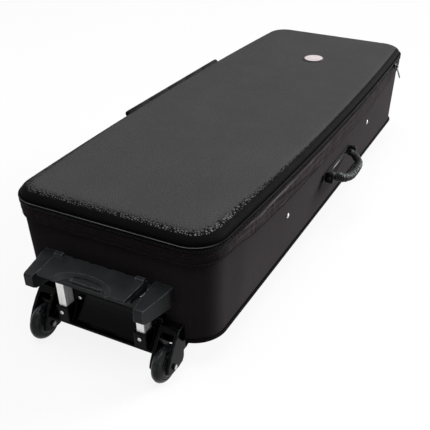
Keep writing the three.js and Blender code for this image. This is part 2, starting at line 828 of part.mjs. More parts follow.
// Carriage on the end wall: plate, scoop, sockets of the tubes, forks and bottom flange
function wheelCarriage() {
  const wallFace = endWall - skinGap;
  const plateHalf = wheelX - cheekInner - cheekThickness / 2;
  const pieces = [];
  const scoop = [[wallFace, carriageTop]];
  const innerScoop = [];
  for (let step = 0; step <= scoopSteps; step += 1) {
    const angle = THREE.MathUtils.degToRad(90 * step / scoopSteps);
    const reach = scoopStart + (lipReach - scoopStart) * (1 - Math.cos(angle));
    const fall = (carriageTop - lipHeight - lipThickness) * Math.sin(angle);
    scoop.push([endWall - reach, carriageTop - fall]);
    const innerReach = carriageWall + (lipReach - 2 * lipThickness - carriageWall) * (1 - Math.cos(angle));
    const innerTop = carriageTop - 2 * lipThickness;
    innerScoop.push([endWall - innerReach, innerTop - (innerTop - lipHeight) * Math.sin(angle)]);
  }
  scoop.push([endWall - lipReach, lipHeight]);
  const scoopHalf = wheelX - cheekOuter + cheekThickness / 2;
  pieces.push(sideSlab([...scoop, ...innerScoop.reverse()], -scoopHalf, scoopHalf));
  for (const sign of [1, -1]) {
    const socketHalf = outerTubeX / 2 + socketWall;
    pieces.push(softBoxBetween(
      [sign * tubeX - socketHalf, endWall - lipReach + skinGap, lipHeight],
      [sign * tubeX + socketHalf, wallFace, socketTop], socketEdge));
    for (const place of [cheekInner, -cheekOuter]) {
      const low = sign * wheelX + place;
      const view = cheekView.map(([reach, height]) => [endWall - reach, height]);
      pieces.push(sideSlab(view, low, low + cheekThickness, cheekEdge));
    }
    const hood = [
      [wallFace, hoodTop], [endWall - hoodDepth + hoodChamfer, hoodTop],
      [endWall - hoodDepth, hoodTop - hoodChamfer],
      [endWall - hoodDepth - hoodChamfer, hoodBottom + hoodDrop],
      [endWall - hoodDepth / 2, hoodBottom], [wallFace, hoodBottom],
    ];
    const inner = sign * wheelX - cheekOuter + cheekThickness / 2;
    const outer = sign * wheelX + cheekOuter - cheekThickness / 2;
    pieces.push(sideSlab(hood, inner, outer));
  }
  pieces.push(boxBetween([-plateHalf, endWall - carriageWall, -flangeThickness],
    [plateHalf, wallFace, carriageTop - 4 * lipThickness]));
  const flangeHalf = wheelX + cheekOuter - flangeInset;
  pieces.push(boxBetween([-flangeHalf, wallFace, -flangeThickness],
    [flangeHalf, endWall + flangeReach, -skinGap]));
  const holes = [];
  for (const sign of [1, -1]) {
    const bore = tubeBar(-2 * runningGap, socketFloor, carriageTop + cutOverrun);
    holes.push(bore.translate(sign * tubeX, tubeY, 0));
    const bar = barAlongX(axleRadius + runningGap, -cheekOuter - cutOverrun, cheekOuter + cutOverrun,
      wheelY, wheelZ, roundSides / 2);
    holes.push(bar.translate(sign * wheelX, 0, 0));
    holes.push(footScrewHole(sign));
    holes.push(plateScrewHole(sign));
  }
  return cut(join(pieces[0], ...pieces.slice(1)), ...holes);
}

// Screws of the tube feet and the plate, with a cross cut in the head
function screw() {
  const profile = [
    [0, -screwReach], [screwShankRadius, -screwReach], [screwShankRadius, 0], [screwHeadRadius, 0],
    [screwHeadRadius, screwHeadHeight / 2], [screwHeadRadius * screwDomeShare, screwHeadHeight],
    [0, screwHeadHeight],
  ];
  const blank = turnedAlongX(profile, smallSides).rotateZ(-Math.PI / 2);
  const slots = [];
  for (const turn of [0, Math.PI / 2]) {
    const slot = new THREE.BoxGeometry(screwHeadRadius, screwHeadHeight, screwHeadRadius / 4);
    slots.push(slot.rotateY(turn).translate(0, -screwHeadHeight, 0));
  }
  return cut(blank, ...slots);
}

function screwHole(x, y, z) {
  const bar = new THREE.CylinderGeometry(screwShankRadius + runningGap, screwShankRadius + runningGap,
    2 * (screwReach + runningGap), smallSides);
  return bar.translate(x, y, z);
}

function footScrewHole(sign) {
  return screwHole(sign * tubeX, endWall - lipReach + skinGap, footScrewHeight);
}

function plateScrewY() {
  const share = (carriageTop - plateScrewHeight) / (carriageTop - lipHeight - lipThickness);
  return endWall - scoopStart - (lipReach - scoopStart) * (1 - Math.sqrt(1 - share ** 2));
}

function plateScrewHole(sign) {
  return screwHole(sign * plateScrewX, plateScrewY(), plateScrewHeight);
}

add('wheel_carriage', wheelCarriage(), glossPlastic);
for (const [side, sign] of sides) {
  const footScrew = add(`foot_screw_${side}`, screw(), steel);
  footScrew.position.set(sign * tubeX, endWall - lipReach, footScrewHeight);
  const plateScrew = add(`plate_screw_${side}`, screw(), steel);
  plateScrew.position.set(sign * plateScrewX, plateScrewY() - plateScrewSeat, plateScrewHeight);
}

// Wheels: tyre, hub and the axle bolt through the fork
function tyre() {
  const half = wheelWidth / 2;
  const inner = wheelRadius - tyreDepth;
  const profile = [[inner, -half + wheelChamfer], [inner, half - wheelChamfer], [inner + wheelChamfer, half]];
  for (let step = 0; step <= tyreSteps; step += 1) {
    const angle = Math.PI / 2 - Math.PI * step / tyreSteps;
    const radius = wheelRadius - tyreShoulder + tyreShoulder * Math.cos(angle);
    profile.push([radius, half * Math.sin(angle)]);
  }
  profile.push([inner + wheelChamfer, -half], [inner, -half + wheelChamfer]);
  return turnedAlongX(profile.reverse());
}

function hub() {
  const half = wheelWidth / 2;
  const rim = wheelRadius - tyreDepth - runningGap;
  const bore = axleRadius + runningGap;
  const web = hubWebThickness / 2;
  const rimHalf = half - wheelChamfer;
  const profile = [
    [bore, -half], [hubBossRadius, -half], [hubBossRadius, -web], [rim - hubRimThickness, -web],
    [rim - hubRimThickness, -rimHalf], [rim, -rimHalf], [rim, rimHalf],
    [rim - hubRimThickness, rimHalf], [rim - hubRimThickness, web], [hubBossRadius, web],
    [hubBossRadius, half], [bore, half], [bore, -half],
  ];
  return turnedAlongX(profile);
}

function axleBolt() {
  const shaft = cheekOuter + skinGap;
  const head = shaft + axleHeadHeight;
  const chamfer = axleHeadHeight / 3;
  const profile = [
    [0, -head], [axleHeadRadius - chamfer, -head], [axleHeadRadius, -head + chamfer],
    [axleHeadRadius, -shaft], [axleRadius, -shaft], [axleRadius, shaft], [axleHeadRadius, shaft],
    [axleHeadRadius, head - chamfer], [axleHeadRadius - chamfer, head], [0, head],
  ];
  return turnedAlongX(profile, roundSides / 2);
}

for (const [side, sign] of sides) {
  for (const [name, geometry, material] of [
    [`wheel_tyre_${side}`, tyre(), rubber], [`wheel_hub_${side}`, hub(), hubPlastic],
    [`axle_bolt_${side}`, axleBolt(), steel],
  ]) {
    add(name, geometry, material).position.set(sign * wheelX, wheelY, wheelZ);
  }
}

// Upper bracket: two tapered blocks and the bridge that holds the tubes
function trolleyDock() {
  const wallFace = endWall - skinGap;
  const front = endWall - blockFront;
  const view = [
    [wallFace, blockTopRear], [front + blockChamfer, blockTopFront],
    [front, blockTopFront - blockChamfer], [front, blockBottomFront + blockNoseRise],
    [front + blockNoseRun, blockBottomFront], [endWall - blockFront / 2, dockBottom + blockBellyRise],
    [wallFace, dockBottom],
  ];
  const pieces = [boxBetween([-blockInnerFront, endWall - dockBridgeDepth, dockBottom],
    [blockInnerFront, wallFace, tubeStop - 2 * runningGap])];
  for (const sign of [1, -1]) {
    const plan = [
      [sign * blockInnerRear, wallFace], [sign * blockInnerRear, endWall - blockFront / 3],
      [sign * blockInnerFront, front], [sign * blockOuterFront, front],
      [sign * blockOuterRear, endWall - blockFront / 6], [sign * blockOuterRear, wallFace],
    ];
    const low = dockBottom - blockEdge;
    const high = blockTopRear + blockEdge;
    const block = slab(sign > 0 ? plan.reverse() : plan, low, high, blockEdge);
    pieces.push(common(block, sideSlab(view, -2 * blockOuterRear, 2 * blockOuterRear)));
  }
  const holes = [1, -1].map((sign) => {
    const bore = tubeBar(-2 * runningGap, dockBottom - cutOverrun, tubeStop + cutOverrun);
    return bore.translate(sign * tubeX, tubeY, 0);
  });
  return cut(join(pieces[0], ...pieces.slice(1)), ...holes);
}
add('trolley_dock', trolleyDock(), plastic);

// Plan of the grip between a front and a rear line, narrower by an inset
function gripPlan(front, inset) {
  const share = (front - gripRear) / (gripFront - gripRear);
  const frontHalf = gripHalfRear + (gripHalfFront - gripHalfRear) * share - inset;
  const rearHalf = gripHalfRear - inset;
  const rear = endWall - gripRear - inset;
  return [[-rearHalf, rear], [-frontHalf, endWall - front], [frontHalf, endWall - front], [rearHalf, rear]];
}

// The hand scoop in the front of the grip
function scoopCutter(grow) {
  const low = gripParting - cutOverrun;
  const high = gripTopRear + cutOverrun;
  const slope = scoopDraft / (gripTopFront - gripParting);
  const topDepth = scoopDepth + slope * (high - gripTopFront) + grow;
  const lowDepth = scoopDepth - slope * (gripTopFront - low) + grow;
  const cone = new THREE.CylinderGeometry(topDepth, lowDepth, high - low, 2 * roundSides);
  cone.rotateX(Math.PI / 2).scale(scoopHalfWidth / scoopDepth, 1, 1);
  return cone.translate(0, endWall - gripFront, (low + high) / 2);
}

// Half-moon plan of the release button, grown by a clearance
function buttonPlan(grow) {
  const points = [];
  const front = endWall - gripBaseFront - buttonFrontReach - grow;
  const back = endWall - gripBaseFront + buttonDepth;
  for (let step = 0; step <= buttonSteps; step += 1) {
    const angle = Math.PI * step / buttonSteps;
    const x = (buttonHalfWidth + grow) * Math.cos(angle);
    points.push([x, front + (back - front + grow) * Math.sin(angle) ** buttonBulgeShare]);
  }
  return points;
}

// Flange of the button that lies under the upper shell
const flangeBack = endWall - gripBaseFront + buttonDepth + buttonFlangeBack;
const flangeLow = gripParting - runningGap - buttonFlange;

function buttonFlangeBox(grow, low, high) {
  const half = buttonHalfWidth * buttonFlangeShare + grow;
  return boxBetween([-half, endWall - gripBaseFront + buttonFlangeFront - grow, low],
    [half, flangeBack + grow, high]);
}

const pegFront = flangeBack - pegStart;
const pegBack = flangeBack - pegEnd;
const yokeHigh = yokeRoof - runningGap;
const yokeLow = yokeHigh - yokeThickness;

function releaseButton() {
  const body = slab(buttonPlan(0), flangeLow, buttonTop);
  const peg = boxBetween([-yokeWidth - runningGap, pegFront - runningGap, flangeLow - cutOverrun],
    [yokeWidth + runningGap, pegBack + runningGap, buttonTop]);
  const slope = boxBetween([-2 * buttonHalfWidth, -buttonSlopeReach, 0],
    [2 * buttonHalfWidth, buttonSlopeReach, buttonSlopeReach]);
  slope.rotateX(THREE.MathUtils.degToRad(buttonSlopeDegrees));
  slope.translate(0, endWall - gripBaseFront + buttonDepth, buttonTop - buttonSlopeDrop);
  return cut(cut(join(body, buttonFlangeBox(0, flangeLow, gripParting - runningGap)), slope), peg);
}

// Cross bar that links the button to the two lock rods
function releaseYoke() {
  const bar = boxBetween([-tubeX - rodRadius, tubeY - yokeWidth / 2, yokeLow],
    [tubeX + rodRadius, tubeY + yokeWidth / 2, yokeHigh]);
  const arm = boxBetween([-yokeWidth, pegFront, yokeLow], [yokeWidth, tubeY, yokeHigh]);
  const peg = boxBetween([-yokeWidth, pegFront, flangeLow], [yokeWidth, pegBack, yokeHigh]);
  return join(bar, arm, peg);
}

// Room for the yoke, with its travel
function yokeRoom(low) {
  const grow = 2 * runningGap;
  const bar = boxBetween([-tubeX - rodRadius - grow, tubeY - yokeWidth / 2 - grow, low],
    [tubeX + rodRadius + grow, tubeY + yokeWidth / 2 + grow, yokeRoof]);
  const arm = boxBetween([-yokeWidth - grow, pegFront - grow, low], [yokeWidth + grow, tubeY, yokeRoof]);
  return [bar, arm];
}

// Lower shell of the grip, with the seats of the inner tubes
function gripBase() {
  const high = gripParting;
  const plan = gripPlan(gripBaseFront, gripBaseInset);
  const base = slab(plan, gripBaseBottom, high, gripEdge);
  const holes = [1, -1].map((sign) => {
    const shrink = 2 * (2 * tubeWall + 2 * runningGap) - 2 * runningGap;
    const bore = tubeBar(shrink, gripBaseBottom - cutOverrun, high + cutOverrun);
    return bore.translate(sign * tubeX, tubeY, 0);
  });
  const pressed = flangeLow - buttonTravel - runningGap;
  holes.push(slab(buttonPlan(2 * runningGap), pressed, high + cutOverrun));
  holes.push(buttonFlangeBox(2 * runningGap, pressed, high + cutOverrun));
  holes.push(barAlongZ(springHole, gripBaseBottom + springFloor, high, 0, springY));
  const yokePressed = yokeLow - buttonTravel - runningGap;
  if (yokePressed < high) {
    holes.push(...yokeRoom(yokePressed));
  }
  return cut(base, ...holes);
}

// Upper shell of the grip, with scoop, finger grooves and the raised corner tabs
function gripTop() {
  const low = gripParting + skinGap;
  const plan = gripPlan(gripFront, 0);
  const body = slab(plan, low - gripEdge, gripTopRear + tabHeight, gripEdge);
  const rear = endWall - gripRear;
  const front = endWall - gripFront;
  const view = [
    [rear + cutOverrun, low], [rear + cutOverrun, gripTopRear - gripEdge],
    [rear - gripTailRun, gripTopRear], [front + gripNoseRun, gripTopFront],
    [front - cutOverrun, gripTopFront - gripNoseRun], [front - cutOverrun, low],
  ];
  const shell = common(body, sideSlab(view, -2 * gripHalfRear, 2 * gripHalfRear));
  const tabTop = gripTopRear + tabHeight;
  const tabs = [1, -1].map((sign) => {
    const outer = sign * (gripHalfRear - tabSide);
    const inner = outer - sign * tabLength;
    const tabView = [
      [rear - tabTailInset, gripTopRear - tabSink], [rear - tabTailInset, tabTop - tabTailRise],
      [rear - tabTailRun, tabTop], [rear - tabDepth + tabNoseRun, tabTop - tabNoseDrop],
      [rear - tabDepth, gripTopRear - tabSink],
    ];
    return sideSlab(tabView, Math.min(inner, outer), Math.max(inner, outer), tabEdge);
  });
  const cuts = [scoopCutter(0), ...yokeRoom(gripParting)];
  cuts.push(slab(buttonPlan(2 * runningGap), low - cutOverrun, buttonTop + runningGap));
  const grooveSpan = 2 * (gripHalfRear - tabLength - fingerGrooveMargin) / fingerGrooves;
  for (let count = 0; count < fingerGrooves; count += 1) {
    const x = (count - (fingerGrooves - 1) / 2) * grooveSpan;
    const y = rear + fingerGrooveRadius - fingerGrooveDepth;
    cuts.push(barAlongZ(fingerGrooveRadius, low - cutOverrun, tabTop + cutOverrun, x, y, roundSides));
  }
  return cut(join(shell, ...tabs), ...cuts);
}

add('grip_base', gripBase(), plastic);
add('grip_top', gripTop(), plastic);
add('release_button', releaseButton(), plastic);
add('release_yoke', releaseYoke(), hubPlastic);

// Route of the return spring under the button
function springRoute() {
  const low = gripBaseBottom + springFloor + runningGap + springWire;
  const high = flangeLow - runningGap - springWire;
  const steps = springTurns * springStepsPerTurn;
  const points = [];
  for (let step = 0; step <= steps; step += 1) {
    const angle = 2 * Math.PI * springTurns * step / steps;
    const z = low + (high - low) * step / steps;
    points.push(new THREE.Vector3(springRadius * Math.cos(angle), springRadius * Math.sin(angle), z));
  }
  return points;
}

// The spring's wire, one unbroken coil along its route
function buttonSpring(route) {
  const wire = [];
  for (let side = 0; side < springWireSides; side += 1) {
    const angle = 2 * Math.PI * side / springWireSides;
    wire.push(new THREE.Vector2(springWire * Math.cos(angle), springWire * Math.sin(angle)));
  }
  return new THREE.ExtrudeGeometry(new THREE.Shape(wire), {
    steps: route.length - 1, bevelEnabled: false, extrudePath: new THREE.CatmullRomCurve3(route),
  });
}

// Least distance between two turns of a coil, measured on the points of its route
function leastGap(route) {
  let least = Infinity;
  for (let place = 0; place < route.length; place += 1) {
    for (let other = place + springStepsPerTurn / 2; other < route.length; other += 1) {
      least = Math.min(least, route[place].distanceTo(route[other]) - 2 * springWire);
    }
  }
  return least;
}
const springPoints = springRoute();
console.log('least gap of the spring to itself, mm:', leastGap(springPoints).toFixed(2));
add('button_spring', buttonSpring(springPoints), steel).position.set(0, springY, 0);

// Lock rods and lock pins in the inner tubes
const pinTip = outerTubeX / 2 - 2 * tubeWall - 2 * runningGap - pinTipGap;
const rodLow = lockPinHeight + lockPinRadius + runningGap + buttonTravel;
for (const [side, sign] of sides) {
  const rod = new THREE.CylinderGeometry(rodRadius, rodRadius, yokeLow - runningGap - rodLow, smallSides);
  rod.rotateX(Math.PI / 2);
  const rodMesh = add(`lock_rod_${side}`, rod, steel);
  rodMesh.position.set(sign * tubeX, tubeY, (yokeLow - runningGap + rodLow) / 2);
  const pin = barAlongX(lockPinRadius, pinTip - lockPinLength, pinTip, 0, 0);
  const pinMesh = add(`lock_pin_${side}`, pin, steel);
  pinMesh.position.set(sign * tubeX, tubeY, lockPinHeight);
  pinMesh.rotation.z = sign > 0 ? 0 : Math.PI;
}

// Carry handle: wall plate, two brackets, pins and the ribbed loop
const wallLean = Math.atan2(wallX(seam, handleMiddleY) - wallX(0, handleMiddleY), seam);
const pivotOut = skinGap + plateThickness + skinGap + bracketDepth / 2;
const handleFrame = new THREE.Group();
handleFrame.position.set(wallX(handleHeight, handleMiddleY), handleMiddleY, handleHeight);
handleFrame.rotation.y = wallLean;
group.add(handleFrame);

function addToHandle(name, geometry, material) {
  const mesh = new THREE.Mesh(geometry, material);
  mesh.name = name;
  handleFrame.add(mesh);
  return mesh;
}

const bracketMiddle = handleSpan / 2 + bracketWidth / 2;
const plateHalf = handleSpan / 2 + 2 * bracketWidth;
addToHandle('handle_plate', softBoxBetween(
  [skinGap, -plateHalf, -plateHeight / 2], [skinGap + plateThickness, plateHalf, plateHeight / 2],
  plateThickness * plateEdgeShare), darkSteel);

function handleBracket() {
  const low = skinGap + plateThickness + skinGap;
  const block = softBoxBetween([low, -bracketWidth / 2, -bracketHeight / 2],
    [low + bracketDepth, bracketWidth / 2, bracketHeight / 2], bracketEdge);
  const bore = barAlongY(handlePinRadius + runningGap, -bracketWidth, bracketWidth, pivotOut, 0);
  return cut(block, bore);
}

function handlePin(sign) {
  const inner = handleSpan / 2 - handleEyeWidth - 2 * runningGap;
  const outer = handleSpan / 2 + bracketWidth + skinGap;
  const head = outer + handlePinHeadRadius / 2;
  const points = [
    [0, inner], [handlePinRadius, inner], [handlePinRadius, outer],
    [handlePinHeadRadius, outer], [handlePinHeadRadius * handleHeadShare, head], [0, head],
  ].map(([radius, place]) => new THREE.Vector2(radius, place));
  const pin = new THREE.LatheGeometry(points, smallSides);
  return sign > 0 ? pin : pin.rotateZ(Math.PI);
}

for (const [place, sign] of [['near', -1], ['far', 1]]) {
  addToHandle(`handle_bracket_${place}`, handleBracket(), plastic).position.y = sign * bracketMiddle;
  addToHandle(`handle_pin_${place}`, handlePin(sign), darkSteel).position.x = pivotOut;
}

// A tube through points, with its own radius at each point
function taperedTube(points, radii, count) {
  const positions = [];
  const index = [];
  const across = new THREE.Vector3(0, 0, 1);
  points.forEach((point, place) => {
    const before = points[Math.max(place - 1, 0)];
    const after = points[Math.min(place + 1, points.length - 1)];
    const along = after.clone().sub(before).normalize();
    const side = new THREE.Vector3().crossVectors(along, across).normalize();
    for (let step = 0; step < count; step += 1) {
      const angle = 2 * Math.PI * step / count;
      const spot = point.clone().addScaledVector(side, radii[place] * Math.cos(angle));
      spot.addScaledVector(across, radii[place] * Math.sin(angle));
      positions.push(spot.x, spot.y, spot.z);
    }
  });
  const last = (points.length - 1) * count;
  for (let place = 0; place < points.length - 1; place += 1) {
    for (let step = 0; step < count; step += 1) {
      const low = place * count;
      const next = (step + 1) % count;
      index.push(low + step, low + count + next, low + next);
      index.push(low + step, low + count + step, low + count + next);
    }
  }
  for (let step = 1; step < count - 1; step += 1) {
    index.push(0, step, step + 1);
    index.push(last, last + step + 1, last + step);
  }
  const geometry = new THREE.BufferGeometry();
  geometry.setAttribute('position', new THREE.Float32BufferAttribute(positions, 3));
  geometry.setIndex(index);
  geometry.computeVertexNormals();
  return geometry;
}

// The ribbed loop, drawn with its pivot axis on Y
function handleLoop() {
  const end = handleSpan / 2 - handleTubeRadius - 2 * runningGap;
  const route = new THREE.CatmullRomCurve3(
    handleRouteShares.map(([out, along]) => new THREE.Vector3(out * handleReach, along * end, 0)),
    false, 'centripetal');
  const steps = 2 * handleRibs;
  const points = route.getSpacedPoints(steps);
  const radii = points.map((point, place) => {
    const share = place / steps;
    const isGrip = share > handleGripStartShare && share < 1 - handleGripStartShare;
    const fullness = handleWaistShare + (1 - handleWaistShare) * Math.sin(Math.PI * share);
    const swell = handleTubeRadius * fullness;
    return isGrip && place % 2 === 0 ? swell - handleRibDepth : swell;
  });
  const loop = taperedTube(points, radii, handleSides);
  const pieces = [1, -1].map((sign) => {
    const outer = sign * (handleSpan / 2 - runningGap);
    const inner = outer - sign * handleEyeWidth;
    return barAlongY(handleEyeRadius, Math.min(inner, outer), Math.max(inner, outer), 0, 0, roundSides / 2);
  });
  const bore = barAlongY(handlePinRadius + runningGap, -handleSpan, handleSpan, 0, 0);
  return cut(join(loop, ...pieces), bore);
}
const loopMesh = addToHandle('carry_handle', handleLoop(), rubber);
loopMesh.position.x = pivotOut;
loopMesh.rotation.y = THREE.MathUtils.degToRad(handleDroop);

// Zip slider and puller on the right side near the far corner
const sliderFace = wallX(seam, sliderY) + chainOffset + chainThickness + sliderGap;
const sliderFrame = new THREE.Group();
sliderFrame.position.set(sliderFace, sliderY, seam + lidGap / 2);
sliderFrame.rotation.z = Math.atan2(
  wallX(seam, sliderY - sliderLength) - wallX(seam, sliderY + sliderLength), 2 * sliderLength);
group.add(sliderFrame);

function zipSlider() {
  const body = softBoxBetween([0, -sliderLength / 2, -sliderHeight / 2],
    [sliderThickness, sliderLength / 2, sliderHeight / 2], sliderEdge);
  const ear = softBoxBetween([sliderThickness / 2, -sliderEarHalf, -sliderEarHalf],
    [sliderThickness + sliderEarReach, sliderEarHalf, sliderEarHalf], sliderEarEdge);
  const bore = barAlongY(sliderBore, -sliderLength, sliderLength, sliderThickness + pullerPivotReach, 0);
  return cut(join(body, ear), bore);
}

function zipPuller() {
  const half = pullerWidth / 2;
  const blade = softBoxBetween([-pullerThickness / 2, -half, -pullerLength],
    [pullerThickness / 2, half, -pullerNeck], pullerThickness * plateEdgeShare);
  const pieces = [barAlongY(pullerWire, -half, half, 0, 0)];
  for (const sign of [1, -1]) {
    const outer = sign * half;
    const inner = sign * (half - pullerArm);
    pieces.push(boxBetween([-pullerWire, Math.min(inner, outer), -pullerArmEnd],
      [pullerWire, Math.max(inner, outer), 0]));
  }
  return join(blade, ...pieces);
}

const sliderMesh = new THREE.Mesh(zipSlider(), darkSteel);
sliderMesh.name = 'zip_slider';
sliderFrame.add(sliderMesh);
const pullerMesh = new THREE.Mesh(zipPuller(), darkSteel);
pullerMesh.name = 'zip_puller';
pullerMesh.position.x = sliderThickness + pullerPivotReach;
pullerMesh.rotation.y = -THREE.MathUtils.degToRad(pullerLean);
sliderFrame.add(pullerMesh);

// Rear feet under the far end
function rearFoot() {
  const top = -skinGap;
  const points = [
    [0, -groundClearance], [footBottomRadius - footEdge, -groundClearance],
    [footBottomRadius, -groundClearance + footEdge], [footTopRadius - footEdge, top - footEdge],
    [footTopRadius, top], [0, top],
  ].map(([radius, height]) => new THREE.Vector2(radius, height));
  return new THREE.LatheGeometry(points, roundSides).rotateX(Math.PI / 2);
}
for (const [side, sign] of sides) {
  const middleX = sign * (halfWidth - footSideInset);
  add(`rear_foot_${side}`, rearFoot(), rubber).position.set(middleX, halfLength - footEndInset, 0);
}

export default group;
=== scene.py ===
"""Looks of a wheeled drum hardware case: cloth tray, pebbled lid, zip, wheels, pull-up grip and carry handle.

All lengths are metres in the frame of the CAD part: +X is the side of the carry handle, -Y is the end with
the wheels and the origin is the middle of the tray's underside.
"""

import json
import math

import bmesh
import bpy
import numpy as np
from mathutils import Matrix, Vector

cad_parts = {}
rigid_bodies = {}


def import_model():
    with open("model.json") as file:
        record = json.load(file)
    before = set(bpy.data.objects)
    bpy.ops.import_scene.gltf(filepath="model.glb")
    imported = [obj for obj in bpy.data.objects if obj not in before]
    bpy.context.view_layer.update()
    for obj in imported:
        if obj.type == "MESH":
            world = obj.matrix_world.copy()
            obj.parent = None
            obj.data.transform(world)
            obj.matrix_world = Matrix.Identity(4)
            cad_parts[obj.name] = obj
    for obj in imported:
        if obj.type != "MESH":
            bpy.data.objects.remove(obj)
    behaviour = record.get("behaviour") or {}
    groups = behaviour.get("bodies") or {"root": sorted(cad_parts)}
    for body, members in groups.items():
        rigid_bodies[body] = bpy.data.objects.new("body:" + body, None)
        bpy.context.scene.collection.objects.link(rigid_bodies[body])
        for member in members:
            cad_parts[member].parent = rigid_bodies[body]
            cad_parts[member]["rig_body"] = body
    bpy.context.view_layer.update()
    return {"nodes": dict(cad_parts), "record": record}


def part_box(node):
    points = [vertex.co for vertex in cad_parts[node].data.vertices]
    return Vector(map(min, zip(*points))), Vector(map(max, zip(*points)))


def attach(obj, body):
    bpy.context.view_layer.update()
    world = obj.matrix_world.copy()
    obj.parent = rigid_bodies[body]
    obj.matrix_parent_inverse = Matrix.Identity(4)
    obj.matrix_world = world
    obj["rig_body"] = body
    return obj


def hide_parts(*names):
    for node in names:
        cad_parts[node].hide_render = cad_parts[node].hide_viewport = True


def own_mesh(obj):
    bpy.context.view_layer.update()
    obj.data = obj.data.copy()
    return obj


# Tray and lid
HALF_LENGTH = 0.53
HALF_WIDTH = 0.1795
SIDE_BOW = 0.014
SEAM = 0.181
WALL_TAPER = 0.004
TRAY_WALL = 0.006
TRAY_FILLET = 0.014
RIM_ROLL = 0.003
CORNER = 0.047
FOOT_CORNER = 0.051
CORNERS = ((1, -1, -90), (1, 1, 0), (-1, 1, 90), (-1, -1, 180))
LID_BASE = 0.1814
LID_BAND_TOP = 0.1904
LID_EDGE_RISE = 0.014
LID_EDGE_RUN = 0.026
LID_CROWN = 0.007
LID_WALL = 0.004
RIM_DARK_TO = (0.2038, 0.2014)
GROUND = -0.046

# Trim round the seam
TAPE_HEIGHT = 0.024
TAPE_THICKNESS = 0.0016
TAPE_GAP = 0.0005
TAPE_WAYS = (-0.53, -0.46, -0.4, -0.3, -0.2, 0.0, 0.2, 0.36, 0.53)
TAPE_DROPS = (0.0, 0.001, 0.012, 0.017, 0.021, 0.02, 0.021, 0.014, 0.002)
UPPER_TAPE_HEIGHT = 0.0038
HEM_HEIGHT = 0.003
HEM_THICKNESS = 0.0026
TOOTH_OFFSET = 0.00315
TOOTH_SIZE = (0.0016, 0.0015, 0.0032)
TOOTH_PITCH = 0.0027
STITCH_SIZE = {"Pitch": 0.0042, "Start": 0.0, "Long": 0.0032, "Deep": 0.0006, "Tall": 0.0006}
PIPING_HEIGHT = 0.188
PIPING_RADIUS = 0.0019
BINDING_HEIGHT = 0.011
BINDING_RADIUS = 0.0029
BINDING_SINK = 0.0012
BINDING_GAP = 0.1373
HINGE_START = -0.1635
HINGE_END = 0.2175

# Fine steps of the cloth and the trim
TRIM_STEP = 0.003
CLOTH_STEP = 0.008
LID_STEP = 0.004
CLOTH_SAG = 0.0007
SAG_WAVE = 0.16
PEBBLE_DEPTH = 0.00022
PEBBLE_WAVE = 0.0065
PUCKER_DEPTH = 0.0016
EDGE_WANDER = 0.0013

# Inside of the tray and the lid
PAD_LOW = 0.0107
PAD_TOP = 0.0186
PAD_PUFFED = 0.0225
PAD_PRESSURE = 4.0
PAD_SWELL_LIMIT = 0.005
STRAP_PLACES = (-0.246, 0.232)
STRAP_WIDTH = 0.038
STRAP_THICKNESS = 0.0016
STRAP_TOP = 0.119
STRAP_FLOOR = 0.0189
STRAP_BEND = 0.006
STRAP_OFF_WALL = 0.0009
STRAP_OFF_FLOOR = 0.0008
QUILT_PITCH = 0.09
QUILT_COLUMNS = 72
QUILT_ROWS = 220
QUILT_INSET = 0.036
QUILT_THIN = 0.0016
QUILT_PUFF = 0.0035

# Wheels
WHEEL_X = 0.117
WHEEL_Y = -0.5664
WHEEL_Z = -0.014
WHEEL_RADIUS = 0.032
WHEEL_HALF = 0.01
TYRE_HALF = 0.0091
HUB_RIM = 0.0207
HUB_BORE = 0.0043
HUB_BOSS = 0.009

# Outer tubes of the pull-up handle
RAIL_X = 0.0745
RAIL_Y = -0.5525
RAIL_WIDE = 0.015
RAIL_DEEP = 0.021
RAIL_CORNER = 0.0016
RAIL_WALL = 0.001
RAIL_LOW = 0.0083
RAIL_HIGH = 0.1017
RAIL_HOLE_HEIGHT = 0.076
RAIL_HOLE_RADIUS = 0.0016
RAIL_POINTS = 144
RAIL_EDGE = 0.0004
RAIL_RIB_DEPTH = 0.00022
RAIL_RIB_PITCH = 0.0016
RAIL_GROOVE_X = 0.0048
RAIL_GROOVE_DEPTH = 0.0003

# Carry handle: rubbed line on its plate, and the ribs of its loop
RUB_LINE = 0.0885
RUB_MIDDLE = 0.013
LOOP_MIDDLE = 0.018
LOOP_HALF_GRIP = 0.064
LOOP_OUT = 0.2322
LOOP_ARM = (0.042, 0.054)
NEAR_ARM_LIFT = 0.005
NEAR_ARM_SWELL = 0.0014
GRIP_SWELL = 0.0011
RIB_HEIGHT = 0.0009
RIB_PITCH = 0.0052

# Painted shade: how much darker the cloth of the near end is painted
NEAR_END_PAINTED_SHADE = 0.32

# Colours that several finishes share
LINT = 0x8c8680
DUST = 0x8c8a86
# Painted highlight on the raised edges of mouldings
PAINTED_EDGE_HIGHLIGHT = 0x676d72

# Camera of the photograph
CAMERA_PLACE = (0.5497, -1.1891, 0.6989)
CAMERA_AZIMUTH = 24.6713
CAMERA_ELEVATION = 34.2476
CAMERA_ROLL = 1.0664
CAMERA_LENS = 54.84
CAMERA_SHIFT = (-0.0872, 0.0954)


# ---------------------------------------------------------------- outline of the case

def corner_column(corner, turn):
    """One upright line on a corner: the signs of its quarter and its direction."""
    sign_x, sign_y, start = CORNERS[corner % 4]
    angle = math.radians(start + turn)
    return np.array((sign_x, sign_y, math.cos(angle), math.sin(angle)))


def wall_columns(step):
    """Shares that place each upright line of the wall, corner by corner and side by side."""
    columns = []
    corner_count = max(8, round(CORNER * math.pi / 2 / step))
    for corner in range(4):
        columns += [corner_column(corner, 90 * place / corner_count) for place in range(corner_count)]
        half = HALF_WIDTH if corner % 2 else HALF_LENGTH
        side_count = max(8, round(2 * (half - CORNER) / step))
        first, last = corner_column(corner, 90), corner_column(corner + 1, 0)
        columns += [first + (last - first) * place / side_count for place in range(side_count)]
    return np.array(columns)


